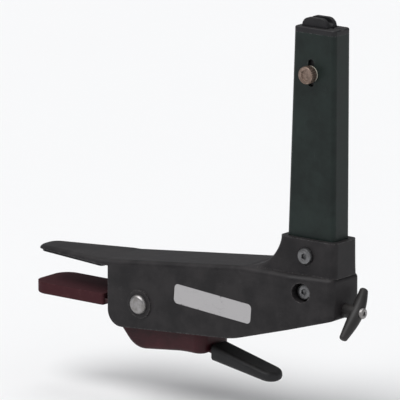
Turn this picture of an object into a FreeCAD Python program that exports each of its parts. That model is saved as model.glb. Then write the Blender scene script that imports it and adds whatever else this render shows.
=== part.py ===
import FreeCAD, Part
import math
import os
import re

import Sketcher

# Spring-clip clamp for the end of a table tennis net, with its post.
# Lengths are in millimetres. Each sub-part is drawn from the table's edge: X points away
# from the table, Y runs along the table's edge, and Z = 0 is the top of the table. A
# Placement then moves it by seat_to_edge, so the finished part has its origin at the
# centre of the upper pad, where it rests on the table.

SIZES = {
    # Table board held by the jaws, and the part's origin
    "board_thickness": 16.0,
    "seat_to_edge": 30.0,
    # Cast arm
    "arm_width": 35.0,
    "arm_wall": 3.0,
    "arm_top": 15.4,
    "arm_edge_radius": 3.0,
    "tongue_reach": 58.0,
    "tongue_tip_thickness": 1.8,
    "tongue_root_thickness": 3.4,
    "tongue_tip_width": 16.0,
    "tongue_shoulder": 6.0,
    "shoulder_radius": 12.0,
    "tongue_tip_gap": 0.5,
    "cheek_depth": 33.0,
    "cheek_nose_radius": 9.0,
    "bend_reach": 90.0,
    "bend_depth": 27.0,
    "bend_radius": 60.0,
    "end_depth": 8.0,
    "end_width": 25.0,
    "taper_length": 27.0,
    "taper_radius": 20.0,
    "end_corner_radius": 4.0,
    "end_low_radius": 1.5,
    "front_wall_drop": 9.0,
    "cross_wall_gap": 2.0,
    "relief_corner": 2.0,
    "rib_thickness": 3.0,
    "rib_depth": 4.0,
    "rib_distance": 58.0,
    # Socket and sweep at the foot of the post
    "socket_height": 35.0,
    "socket_wall": 3.0,
    "socket_gap": 0.15,
    "socket_floor": 5.0,
    "sweep_radius": 20.5,
    "sweep_sink": 0.6,
    "collar_inner_corner": 4.0,
    "collar_outer_corner": 3.5,
    # Post
    "post_reach": 152.5,
    "post_height": 152.5,
    "post_foot_drop": 2.0,
    "post_depth": 32.0,
    "post_top_depth": 28.0,
    "post_width": 15.0,
    "post_wall": 1.5,
    "post_corner": 2.5,
    "cap_thickness": 3.0,
    "cap_plug_depth": 8.0,
    "cap_plug_wall": 1.4,
    "cap_inner_gap": 0.3,
    "cap_edge_radius": 1.0,
    "cap_groove_sink": 1.8,
    "plug_gap": 0.15,
    "plug_corner": 1.0,
    # Bolts through socket and post
    "bolt_radius": 2.5,
    "bolt_hole_gap": 0.15,
    "bolt_head_radius": 4.5,
    "bolt_head_height": 2.8,
    "bolt_seat_radius": 5.4,
    "bolt_low_height": 6.0,
    "bolt_high_height": 26.0,
    "bolt_chamfer": 0.8,
    "bolt_end": 0.6,
    "nut_width": 8.0,
    "nut_thickness": 4.0,
    "spacer_radius": 4.0,
    # Pads
    "upper_pad_thickness": 1.6,
    "pad_end_inset": 1.5,
    "pad_tip_inset": 1.3,
    "pad_side_inset": 1.8,
    "pad_corner": 2.0,
    "pad_root_gap": 3.5,
    "buffer_thickness": 2.0,
    "buffer_inset": 5.5,
    "buffer_edge_gap": 0.5,
    "buffer_corner": 2.0,
    "lower_pad_thickness": 3.0,
    "boot_wall": 1.5,
    "boot_end_gap": 3.4,
    "boot_edge_radius": 1.0,
    # Pivot
    "pivot_distance": 25.0,
    "pivot_drop": 17.0,
    "pin_radius": 3.0,
    "pin_gap": 0.05,
    "pin_head_radius": 5.5,
    "pin_head_height": 2.4,
    "pin_head_round": 2.0,
    "boss_radius": 8.0,
    "boss_height": 0.8,
    "washer_radius": 6.0,
    "washer_thickness": 1.0,
    "clip_radius": 5.2,
    "clip_thickness": 1.0,
    "clip_groove_radius": 2.3,
    "clip_snap": 0.2,
    "bush_radius": 4.5,
    "bush_flange_radius": 6.5,
    "bush_flange_thickness": 0.8,
    "bush_step": 0.5,
    "sleeve_radius": 4.6,
    "sleeve_end_gap": 1.0,
    # Spring
    "wire_diameter": 2.2,
    "coil_radius": 6.1,
    "coil_pitch": 2.7,
    "spring_turns": 2.0,
    "spring_leg": 31.0,
    "spring_foot": 7.0,
    "spring_bend_radius": 6.0,
    "spring_seat_gap": 0.25,
    "spring_floor_gap": 0.55,
    # Lever
    "lever_side_gap": 1.0,
    "lever_sheet": 2.0,
    "jaw_plate_thickness": 2.3,
    "jaw_reach": 54.0,
    "jaw_corner": 7.5,
    "jaw_bend_distance": 3.0,
    "ear_radius": 8.5,
    "ear_spread": 11.0,
    "ear_front_radius": 6.0,
    "ear_front_spread": 17.8,
    "ear_root_radius": 4.0,
    "belly_drop": 44.8,
    "belly_distance": 18.0,
    "belly_radius": 14.0,
    "waist_drop": 41.0,
    "waist_distance": 52.0,
    "waist_radius": 80.0,
    "trough_start": 2.4,
    "trough_corner": 5.0,
    "trough_shift": 1.2,
    "flank_distance": 47.0,
    "flank_drop": 24.5,
    "flank_radius": 10.0,
    "flank_end": 66.0,
    "flank_end_drop": 30.5,
    "flank_corner_radius": 6.0,
    "lever_edge_radius": 2.2,
    # Tang that runs on from the lever's floor, and the grip moulded over it
    "tang_width": 11.0,
    "tang_overlap": 4.0,
    "tang_end_gap": 5.0,
    "grip_width": 15.0,
    "grip_start": 68.0,
    "grip_end": 110.0,
    "grip_top_start": 36.2,
    "grip_top_end": 46.7,
    "grip_bottom_start": 45.2,
    "grip_bottom_end": 52.3,
    "grip_tip_radius": 7.0,
    "grip_edge_radius": 2.5,
    # Cleat
    "cleat_drop": 4.0,
    "cleat_tilt": 38.7,
    "cleat_foot_radius": 4.0,
    "cleat_gap": 3.6,
    "cleat_bar_radius": 3.9,
    "cleat_tip_radius": 2.2,
    "cleat_tip_round": 1.5,
    "cleat_flat_depth": 0.8,
    "cleat_seat_gap": 0.3,
    "cleat_long_horn": 17.5,
    "cleat_short_horn": 14.5,
    "cleat_screw_radius": 1.5,
    "cleat_screw_head_radius": 3.0,
    "cleat_screw_head_height": 2.0,
    "cleat_screw_chamfer": 0.7,
    "cleat_screw_depth": 12.0,
    "cleat_screw_end_gap": 1.0,
    # Height adjuster
    "slider_height": 5.0,
    "slider_length": 17.0,
    "slider_width": 9.0,
    "slider_block_length": 21.0,
    "slider_gap": 0.3,
    "slider_block_height": 19.0,
    "slider_block_corner": 1.0,
    "slider_top_radius": 5.0,
    "slider_top_gap": 1.0,
    "groove_width": 3.6,
    "groove_depth": 4.0,
    "slot_up": 6.0,
    "slot_down": 5.0,
    "slot_gap": 0.15,
    "lock_drop": 25.5,
    "lock_radius": 2.0,
    "lock_head_radius": 5.0,
    "lock_head_height": 4.5,
    "lock_head_chamfer": 0.8,
    "lock_end_gap": 0.5,
    "lock_washer_radius": 4.6,
    "lock_washer_thickness": 0.8,
    "insert_radius": 3.2,
    "insert_length": 8.0,
}

# Degrees of the sweep's turn at its end
SWEEP_END = 86

# Lengths worked out from the sizes above
STOP_X = "buffer_thickness"
TONGUE_ROOT_TOP = "(upper_pad_thickness + tongue_root_thickness)"
BORE_INNER_X = "(post_reach - post_depth - socket_gap)"
BORE_OUTER_X = "(post_reach + socket_gap)"
END_X = f"({BORE_OUTER_X} + socket_wall)"
COLLAR_HALF = "(post_width / 2 + socket_gap + socket_wall)"
CAVITY_HALF = "(arm_width / 2 - arm_wall)"
CAVITY_X = f"({STOP_X} + arm_wall)"
CAVITY_END_X = f"({BORE_INNER_X} - socket_wall)"
TAPER_X = f"({END_X} - taper_length)"
SWEEP_X = f"({CAVITY_END_X} - sweep_radius * sin({SWEEP_END}))"
WEB_SLOPE = f"((arm_top - {TONGUE_ROOT_TOP}) / {SWEEP_X})"
FLOOR_Z = "(-post_foot_drop - socket_floor)"
POST_MID_X = "(post_reach - post_depth / 2)"
PIVOT_Z = "(-pivot_drop)"
JAW_TOP_Z = "(-board_thickness - lower_pad_thickness)"
JAW_BOTTOM_Z = f"({JAW_TOP_Z} - jaw_plate_thickness)"
CAP_Z = "(post_height - cap_thickness)"
BOLT_SPACING = "(bolt_high_height - bolt_low_height)"
LOCK_Z = "(post_height - lock_drop)"
LEVER_HALF = f"({CAVITY_HALF} - lever_side_gap)"
EAR_INNER = f"({LEVER_HALF} - lever_sheet)"
CAP_INNER_X = "(post_reach - post_top_depth + post_wall + plug_gap + cap_inner_gap)"
SLIDER_X = f"({CAP_INNER_X} + cap_plug_wall + slider_gap)"
LOCK_X = f"({SLIDER_X} + slider_length / 2)"
CLEAT_FLAT = "(cleat_gap + 2 * cleat_bar_radius - cleat_flat_depth)"

# Where the lofts have their sections: degrees of the sweep's turn, and shares of a cleat horn
SWEEP_ANGLES = (14, 32, 50, 68, SWEEP_END)
HORN_SHARES = (-1.0, -0.55, 0.0, 0.55, 1.0)

DOC = FreeCAD.newDocument("net_clamp")
SHEET = DOC.addObject("Spreadsheet::Sheet", "Sizes")
for row, (alias, value) in enumerate(SIZES.items(), 1):
    SHEET.set(f"A{row}", alias)
    SHEET.set(f"B{row}", str(value))
    SHEET.setAlias(f"B{row}", alias)
DOC.recompute()

ALIAS = re.compile(r"\b(" + "|".join(SIZES) + r")\b")
SUB_PARTS = []


def bound(text):
    """The expression with each size's name pointing at its cell."""
    return ALIAS.sub(r"Sizes.\1", str(text))


def number(text):
    """What an expression is worth now, in millimetres or degrees."""
    return float(SHEET.evalExpression(bound(text)))


def new_body(label):
    body = DOC.addObject("PartDesign::Body", label)
    SUB_PARTS.append(body)
    return body


def place(body, x="0", y="0", z="0", rotation=FreeCAD.Rotation()):
    """Puts a sub-part that is drawn from the table's edge into the part's own frame."""
    x = f"seat_to_edge + {x}"
    body.Placement = FreeCAD.Placement(FreeCAD.Vector(number(x), number(y), number(z)), rotation)
    for name, text in (("x", x), ("y", y), ("z", z)):
        body.setExpression(f"Placement.Base.{name}", bound(text))


def origin_item(body, role):
    return next(item for item in body.Origin.OriginFeatures if item.Role == role)


def sketch_on(body, name, plane, lift="0"):
    """A sketch on one of the body's origin planes, lifted along that plane's normal."""
    sketch = body.newObject("Sketcher::SketchObject", name)
    sketch.AttachmentSupport = [(origin_item(body, plane), "")]
    sketch.MapMode = "FlatFace"
    if lift != "0":
        sketch.setExpression("AttachmentOffset.Base.z", bound(lift))
    return sketch


def fix_point(sketch, geometry, end, across, up, tag):
    """Ties one point of a sketch to two expressions."""
    for kind, text, axis in (("DistanceX", across, -2), ("DistanceY", up, -1)):
        if text == "0":
            sketch.addConstraint(Sketcher.Constraint("PointOnObject", geometry, end, axis))
            continue
        index = sketch.addConstraint(Sketcher.Constraint(kind, geometry, end, number(text)))
        sketch.renameConstraint(index, f"{kind}_{tag}")
        sketch.setExpression(f"Constraints.{kind}_{tag}", bound(text))


def circle(sketch, across, up, radius, tag="circle"):
    centre = FreeCAD.Vector(number(across), number(up), 0)
    normal = FreeCAD.Vector(0, 0, 1)
    geometry = sketch.addGeometry(Part.Circle(centre, normal, number(radius)), False)
    fix_point(sketch, geometry, 3, across, up, tag)
    index = sketch.addConstraint(Sketcher.Constraint("Radius", geometry, number(radius)))
    sketch.renameConstraint(index, f"Radius_{tag}")
    sketch.setExpression(f"Constraints.Radius_{tag}", bound(radius))


def rounded_corner(before, corner, after, radius):
    """Ends, centre and turning sense of the arc that rounds a corner."""
    inward = (corner - before).normalize()
    outward = (after - corner).normalize()
    turn = math.atan2(inward.x * outward.y - inward.y * outward.x, inward.dot(outward))
    reach = radius * math.tan(abs(turn) / 2)
    side = math.copysign(1.0, turn)
    start = corner - inward * reach
    centre = start + FreeCAD.Vector(-inward.y, inward.x, 0) * (side * radius)
    return start, corner + outward * reach, centre, side


def outline(sketch, corners, tag="p"):
    """A closed outline through corners of (across, up) or (across, up, rounding)."""
    spots = [FreeCAD.Vector(number(c[0]), number(c[1]), 0) for c in corners]
    count = len(corners)
    starts, ends, arcs = [], [], []
    for i, corner in enumerate(corners):
        arc = None
        start = end = spots[i]
        if len(corner) == 3:
            radius = number(corner[2])
            start, end, centre, side = rounded_corner(spots[i - 1], spots[i], spots[(i + 1) % count],
                                                      radius)
            first, last = (start, end) if side > 0 else (end, start)
            angles = [math.atan2(p.y - centre.y, p.x - centre.x) for p in (first, last)]
            round_shape = Part.Circle(centre, FreeCAD.Vector(0, 0, 1), radius)
            arc = sketch.addGeometry(Part.ArcOfCircle(round_shape, angles[0], angles[1]), False)
            arc = (arc, 1, 2) if side > 0 else (arc, 2, 1)
        starts.append(start)
        ends.append(end)
        arcs.append(arc)
    lines = [sketch.addGeometry(Part.LineSegment(ends[i], starts[(i + 1) % count]), False)
             for i in range(count)]
    for i, corner in enumerate(corners):
        before, after = lines[i - 1], lines[i]
        if arcs[i] is None:
            sketch.addConstraint(Sketcher.Constraint("Coincident", before, 2, after, 1))
            fix_point(sketch, after, 1, corner[0], corner[1], f"{tag}{i}")
            continue
        arc, enters, leaves = arcs[i]
        sketch.addConstraint(Sketcher.Constraint("Tangent", before, 2, arc, enters))
        sketch.addConstraint(Sketcher.Constraint("Tangent", arc, leaves, after, 1))
        index = sketch.addConstraint(Sketcher.Constraint("Radius", arc, number(corner[2])))
        sketch.renameConstraint(index, f"Radius_{tag}{i}")
        sketch.setExpression(f"Constraints.Radius_{tag}{i}", bound(corner[2]))
        point = sketch.addGeometry(Part.Point(spots[i]), True)
        sketch.addConstraint(Sketcher.Constraint("PointOnObject", point, 1, before))
        sketch.addConstraint(Sketcher.Constraint("PointOnObject", point, 1, after))
        fix_point(sketch, point, 1, corner[0], corner[1], f"{tag}{i}")


def mirrored_corners(half):
    """Corners on both sides of the X axis, from those on the positive side."""
    other = [(c[0], f"-({c[1]})") + tuple(c[2:]) for c in reversed(half)]
    return half + other


def box_corners(low_x, high_x, low_y, high_y, radius=None):
    rounding = () if radius is None else (radius,)
    return [(low_x, low_y) + rounding, (high_x, low_y) + rounding,
            (high_x, high_y) + rounding, (low_x, high_y) + rounding]


def settled(body, name, before, grows):
    """Recomputes the body and makes sure that the new feature changed it the right way."""
    DOC.recompute()
    change = body.Shape.Volume - before
    if (change if grows else -change) < 1e-3:
        raise RuntimeError(f"{body.Label}: {name} changes nothing")


def extrude(body, kind, name, sketch, length, symmetric, reverse):
    before = body.Shape.Volume if body.Tip else 0.0
    feature = body.newObject(kind, name)
    feature.Profile = sketch
    feature.setExpression("Length", bound(length))
    feature.SideType = "Symmetric" if symmetric else "One side"
    feature.Reversed = reverse
    settled(body, name, before, kind.endswith("Pad"))
    return feature


def pad(body, name, sketch, length, symmetric=True, reverse=False):
    return extrude(body, "PartDesign::Pad", name, sketch, length, symmetric, reverse)


def pocket(body, name, sketch, length, symmetric=True, reverse=False):
    return extrude(body, "PartDesign::Pocket", name, sketch, length, symmetric, reverse)


def revolve(body, name, sketch):
    feature = body.newObject("PartDesign::Revolution", name)
    feature.Profile = sketch
    feature.ReferenceAxis = (sketch, ["V_Axis"])
    settled(body, name, 0.0, True)
    return feature


def loft(body, name, sketches, cuts=False, ruled=True):
    before = body.Shape.Volume if body.Tip else 0.0
    feature = body.newObject(f"PartDesign::{'Subtractive' if cuts else 'Additive'}Loft", name)
    feature.Profile = sketches[0]
    feature.Sections = sketches[1:]
    feature.Ruled = ruled
    settled(body, name, before, not cuts)
    return feature


def round_edges(body, name, radius, chosen):
    """Rounds the edges of the body for which chosen(edge) is true."""
    base = body.Tip
    names = [f"Edge{i}" for i, edge in enumerate(base.Shape.Edges, 1) if chosen(edge)]
    if not names:
        raise RuntimeError(f"{body.Label}: {name} finds no edge")
    feature = body.newObject("PartDesign::Fillet", name)
    feature.Base = (base, names)
    feature.setExpression("Radius", bound(radius))
    DOC.recompute()
    return feature


def repeat(body, feature, axis, spacing, backwards=False):
    """A second copy of a feature at a distance along one of the body's axes."""
    pattern = body.newObject("PartDesign::LinearPattern", f"{feature.Name}_pattern")
    pattern.Originals = [feature]
    pattern.Direction = (origin_item(body, axis), [""])
    pattern.Reversed = backwards
    pattern.setExpression("Length", bound(spacing))
    pattern.Occurrences = 2
    body.Tip = pattern
    DOC.recompute()
    return pattern


def mirror(body, feature, plane):
    """The same feature again on the other side of one of the body's planes."""
    copy = body.newObject("PartDesign::Mirrored", f"{feature.Name}_mirrored")
    copy.Originals = [feature]
    copy.MirrorPlane = (origin_item(body, plane), [""])
    body.Tip = copy
    DOC.recompute()
    return copy


def turned(label, corners):
    """A piece turned about its own Z axis, from corners of (radius, height)."""
    body = new_body(label)
    sketch = sketch_on(body, f"{label}_profile", "XZ_Plane")
    outline(sketch, corners)
    return body, revolve(body, f"{label}_turned", sketch)


ALONG_Y = FreeCAD.Rotation(FreeCAD.Vector(1, 0, 0), -90)
ALONG_X = FreeCAD.Rotation(FreeCAD.Vector(0, 1, 0), 90)


def arm_plan():
    """Plan outline of the arm: narrow tongue tip, full width, narrower outer end."""
    return mirrored_corners([
        ("-tongue_reach", "tongue_tip_width / 2", "tongue_tip_width / 2 - tongue_tip_gap"),
        ("-tongue_shoulder", "arm_width / 2", "shoulder_radius"),
        (TAPER_X, "arm_width / 2", "taper_radius"),
        (END_X, "end_width / 2", "end_corner_radius"),
    ])


# Cast arm: tongue, cheeks, web, and the socket that the post stands in

def make_arm():
    body = new_body("arm_casting")
    spare = "40"
    side = sketch_on(body, "arm_side", "XZ_Plane")
    outline(side, [
        ("-tongue_reach", "upper_pad_thickness"),
        (STOP_X, "upper_pad_thickness"),
        (STOP_X, "-cheek_depth", "cheek_nose_radius"),
        ("bend_reach", "-bend_depth", "bend_radius"),
        (END_X, "-end_depth", "end_low_radius"),
        (END_X, "arm_top"),
        (SWEEP_X, "arm_top"),
        ("0", TONGUE_ROOT_TOP),
        ("-tongue_reach", "upper_pad_thickness + tongue_tip_thickness"),
    ])
    pad(body, "arm_block", side, "arm_width + 2")

    plan = sketch_on(body, "arm_plan", "XY_Plane")
    outline(plan, arm_plan())
    outline(plan, box_corners(f"-tongue_reach - {spare}", f"{END_X} + {spare}", f"-{spare}", spare), "f")
    pocket(body, "arm_plan_trim", plan, "4 * cheek_depth")

    top_edge = number("upper_pad_thickness + tongue_root_thickness") - 0.1
    round_edges(body, "arm_top_round", "arm_edge_radius", lambda edge: (
        edge.BoundBox.ZMin > top_edge and edge.BoundBox.XMin > -0.1
        and abs(edge.CenterOfMass.y) > 1 and edge.BoundBox.XLength > 0.5))

    make_sweep(body)

    bosses = sketch_on(body, "boss_circle", "XZ_Plane")
    circle(bosses, "pivot_distance", PIVOT_Z, "boss_radius")
    pad(body, "pivot_bosses", bosses, "arm_width + 2 * boss_height")

    cavity = sketch_on(body, "cavity_side", "XZ_Plane")
    below = f"(-cheek_depth - {spare})"
    cross_wall = f"({TAPER_X} + cross_wall_gap)"
    outline(cavity, [
        (f"-{spare}", below),
        (f"-{spare}", "-front_wall_drop"),
        (CAVITY_X, "-front_wall_drop"),
        (CAVITY_X, f"{TONGUE_ROOT_TOP} + {WEB_SLOPE} * {CAVITY_X} - arm_wall"),
        (SWEEP_X, "arm_top - arm_wall"),
        (CAVITY_END_X, "arm_top - arm_wall"),
        (CAVITY_END_X, FLOOR_Z),
        (cross_wall, FLOOR_Z),
        (cross_wall, below),
    ])
    pocket(body, "lever_cavity", cavity, f"2 * {CAVITY_HALF}")

    ribs = sketch_on(body, "rib_side", "XZ_Plane")
    rib_top = f"({TONGUE_ROOT_TOP} + {WEB_SLOPE} * rib_distance - arm_wall)"
    outline(ribs, box_corners("rib_distance", "rib_distance + rib_thickness",
                              f"{rib_top} - rib_depth", f"{rib_top} + arm_wall / 2"))
    pad(body, "spring_rib", ribs, f"2 * {CAVITY_HALF} + arm_wall")

    bore = sketch_on(body, "socket_bore", "XY_Plane", "-post_foot_drop")
    outline(bore, box_corners(BORE_INNER_X, BORE_OUTER_X, "-post_width / 2 - socket_gap",
                              "post_width / 2 + socket_gap", "post_corner + socket_gap"))
    pocket(body, "post_socket", bore, "2 * socket_height", symmetric=False, reverse=True)

    relief = sketch_on(body, "end_relief", "XY_Plane", FLOOR_Z)
    outline(relief, box_corners(f"{cross_wall} + arm_wall", BORE_OUTER_X, "-end_width / 2 + arm_wall",
                                "end_width / 2 - arm_wall", "relief_corner"))
    pocket(body, "end_pocket", relief, "2 * cheek_depth", symmetric=False)

    hole = sketch_on(body, "pivot_hole", "XZ_Plane")
    circle(hole, "pivot_distance", PIVOT_Z, "pin_radius + pin_gap")
    pocket(body, "pivot_bore", hole, "2 * arm_width")

    bolt_holes(body, "2 * arm_width")
    for side_name, sign, backwards in (("near", "", False), ("far", "-", True)):
        seats = sketch_on(body, f"bolt_seats_{side_name}", "XZ_Plane", f"{sign}{COLLAR_HALF}")
        circle(seats, POST_MID_X, "bolt_low_height", "bolt_seat_radius", "low")
        circle(seats, POST_MID_X, "bolt_high_height", "bolt_seat_radius", "high")
        pocket(body, f"bolt_seat_{side_name}", seats, "arm_width", symmetric=False,
               reverse=not backwards)

    tapped = sketch_on(body, "cleat_hole", "YZ_Plane", END_X)
    circle(tapped, "0", "-cleat_drop", "cleat_screw_radius")
    pocket(body, "cleat_bore", tapped, "cleat_screw_depth", symmetric=False)
    place(body)


def bolt_holes(body, length):
    """Two cross holes for the bolts that hold the post."""
    holes = sketch_on(body, f"{body.Label}_bolt_holes", "XZ_Plane")
    for tag, height in (("low", "bolt_low_height"), ("high", "bolt_high_height")):
        circle(holes, POST_MID_X, height, "bolt_radius + bolt_hole_gap", tag)
    pocket(body, f"{body.Label}_bolt_bores", holes, length)


def make_sweep(body):
    """The arm's top sweeping up into the collar round the post's foot."""
    base_half = "(arm_width / 2 - arm_edge_radius)"
    end_half = "(end_width / 2 - arm_edge_radius / 2)"
    root = [(SWEEP_X, "arm_top - sweep_sink", base_half, end_half)]
    turns = []
    for angle in SWEEP_ANGLES:
        share = f"sin({angle}) / sin({SWEEP_END})"
        turns.append((
            f"{SWEEP_X} + sweep_radius * sin({angle})",
            f"arm_top + (socket_height - arm_top) * (1 - cos({angle})) / (1 - cos({SWEEP_END}))",
            f"{base_half} - ({base_half} - {COLLAR_HALF}) * {share}",
            f"{end_half} - ({end_half} - {COLLAR_HALF}) * {share}"))
    sections = []
    for i, (inner_x, height, inner_half, outer_half) in enumerate(root + turns):
        section = sketch_on(body, f"sweep_section_{i}", "XY_Plane", height)
        outline(section, mirrored_corners([
            (inner_x, inner_half, "collar_inner_corner"), (END_X, outer_half, "collar_outer_corner")]))
        sections.append(section)
    loft(body, "socket_sweep", sections, ruled=False)


# Post and what closes or holds it

def post_section(body, name, height, depth, inset):
    section = sketch_on(body, name, "XY_Plane", height)
    outline(section, box_corners(f"post_reach - {depth} + {inset}", f"post_reach - {inset}",
                                 f"-post_width / 2 + {inset}", f"post_width / 2 - {inset}",
                                 f"post_corner - {inset}"))
    return section


def make_post():
    body = new_body("post_tube")
    levels = (("foot", "-post_foot_drop", "post_depth"), ("collar", "socket_height", "post_depth"),
              ("top", CAP_Z, "post_top_depth"))
    for name, inset, cuts in (("outside", "0", False), ("inside", "post_wall", True)):
        sections = [post_section(body, f"post_{name}_{level}", height, depth, inset)
                    for level, height, depth in levels]
        loft(body, f"post_{name}", sections, cuts)
    bolt_holes(body, "2 * post_width")

    slot = sketch_on(body, "lock_slot", "XZ_Plane", "post_width / 2 - post_wall * 2")
    half = "(lock_radius + slot_gap)"
    outline(slot, box_corners(f"{LOCK_X} - {half}", f"{LOCK_X} + {half}",
                              f"{LOCK_Z} - slot_down - {half}", f"{LOCK_Z} + slot_up + {half}",
                              f"{half} - 0.01"))
    pocket(body, "lock_slot_cut", slot, "4 * post_wall", symmetric=False, reverse=True)
    place(body)


def make_cap():
    body = new_body("top_cap")
    plate = sketch_on(body, "cap_plate", "XY_Plane", CAP_Z)
    outline(plate, box_corners("post_reach - post_top_depth", "post_reach", "-post_width / 2",
                               "post_width / 2", "post_corner"))
    pad(body, "cap_block", plate, "cap_thickness", symmetric=False)
    top = number("post_height") - 0.01
    round_edges(body, "cap_round", "cap_edge_radius", lambda edge: edge.BoundBox.ZMin > top)
    plug = sketch_on(body, "cap_plug", "XY_Plane", CAP_Z)
    inset = "(post_wall + plug_gap)"
    outline(plug, box_corners(CAP_INNER_X, f"post_reach - {inset}", f"-post_width / 2 + {inset}",
                              f"post_width / 2 - {inset}", "plug_corner"))
    pad(body, "cap_plug_block", plug, "cap_plug_depth", symmetric=False, reverse=True)
    window = sketch_on(body, "cap_window", "XY_Plane", CAP_Z)
    outline(window, box_corners(f"{SLIDER_X} - slider_gap", f"{SLIDER_X} + slider_length + slider_gap",
                                "-slider_width / 2 - slider_gap", "slider_width / 2 + slider_gap"))
    pocket(body, "cap_window_cut", window, "4 * cap_plug_depth")
    groove = sketch_on(body, "cap_groove", "YZ_Plane", f"{SLIDER_X} + slider_length")
    outline(groove, box_corners("-groove_width / 2", "groove_width / 2",
                                "post_height + slider_height - groove_depth - cap_groove_sink",
                                "post_height + cap_thickness", "plug_corner"))
    pocket(body, "cap_groove_cut", groove, "post_top_depth", symmetric=False, reverse=True)
    place(body)


def make_bolts():
    bolts, shank = turned("post_bolts", [
        ("0", "-bolt_head_height"),
        ("bolt_head_radius - bolt_chamfer", "-bolt_head_height"),
        ("bolt_head_radius", "-bolt_head_height + bolt_chamfer"),
        ("bolt_head_radius", "0"),
        ("bolt_radius", "0"),
        ("bolt_radius", f"2 * {COLLAR_HALF} + nut_thickness + bolt_end"),
        ("0", f"2 * {COLLAR_HALF} + nut_thickness + bolt_end"),
    ])
    repeat(bolts, shank, "Y_Axis", BOLT_SPACING, backwards=True)
    place(bolts, POST_MID_X, f"-{COLLAR_HALF}", "bolt_low_height", ALONG_Y)

    nuts = new_body("post_nuts")
    hexagon = sketch_on(nuts, "nut_hexagon", "XY_Plane")
    corner = "(nut_width / 2 / cos(30))"
    outline(hexagon, [(f"{corner} * cos({60 * i + 30})" if (60 * i + 30) % 180 != 90 else "0",
                       f"{corner} * sin({60 * i + 30})") for i in range(6)])
    circle(hexagon, "0", "0", "bolt_radius")
    nut = pad(nuts, "nut_block", hexagon, "nut_thickness", symmetric=False)
    repeat(nuts, nut, "Y_Axis", BOLT_SPACING, backwards=True)
    place(nuts, POST_MID_X, COLLAR_HALF, "bolt_low_height", ALONG_Y)

    half = "(post_width / 2 - post_wall)"
    spacers, tube = turned("post_spacers", box_corners(
        "bolt_radius + bolt_hole_gap", "spacer_radius", f"-{half}", half))
    repeat(spacers, tube, "Y_Axis", BOLT_SPACING, backwards=True)
    place(spacers, POST_MID_X, "0", "bolt_low_height", ALONG_Y)


# Pads that touch the table

def make_pads():
    upper = new_body("upper_jaw_pad")
    plan = sketch_on(upper, "upper_pad_plan", "XY_Plane")
    tip_half = "(tongue_tip_width / 2 - pad_tip_inset)"
    outline(plan, mirrored_corners([
        ("-tongue_reach + pad_end_inset", tip_half, f"{tip_half} - tongue_tip_gap"),
        ("-pad_root_gap", "arm_width / 2 - pad_side_inset", "pad_corner"),
    ]))
    pad(upper, "upper_pad_sheet", plan, "upper_pad_thickness", symmetric=False)
    place(upper)

    buffer = new_body("edge_buffer")
    face = sketch_on(buffer, "buffer_face", "YZ_Plane")
    half = "(arm_width / 2 - buffer_inset)"
    outline(face, box_corners(f"-{half}", half, "-front_wall_drop + buffer_edge_gap",
                              "-buffer_edge_gap", "buffer_corner"))
    pad(buffer, "buffer_strip", face, "buffer_thickness", symmetric=False)
    place(buffer)

    boot = new_body("lower_jaw_boot")
    outside = sketch_on(boot, "boot_plan", "XY_Plane", "-board_thickness")
    outline(outside, mirrored_corners([
        ("-jaw_reach - boot_wall", f"{LEVER_HALF} + boot_wall", "jaw_corner + boot_wall"),
        ("-boot_end_gap", f"{LEVER_HALF} + boot_wall", "boot_wall"),
    ]))
    depth = "(lower_pad_thickness + jaw_plate_thickness + boot_wall)"
    pad(boot, "boot_block", outside, depth, symmetric=False, reverse=True)
    inside = sketch_on(boot, "boot_inside", "XY_Plane", JAW_BOTTOM_Z)
    outline(inside, [
        ("0", f"-{LEVER_HALF}"), ("0", LEVER_HALF),
        ("-jaw_reach", LEVER_HALF, "jaw_corner"),
        ("-jaw_reach", f"-{LEVER_HALF}", "jaw_corner"),
    ])
    pocket(boot, "boot_mouth", inside, "jaw_plate_thickness", symmetric=False, reverse=True)
    low = number(f"{JAW_BOTTOM_Z} - boot_wall") + 0.01
    round_edges(boot, "boot_round", "boot_edge_radius", lambda edge: edge.BoundBox.ZMax < low)
    place(boot)


# Pivot, its bushes and the spring

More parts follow.
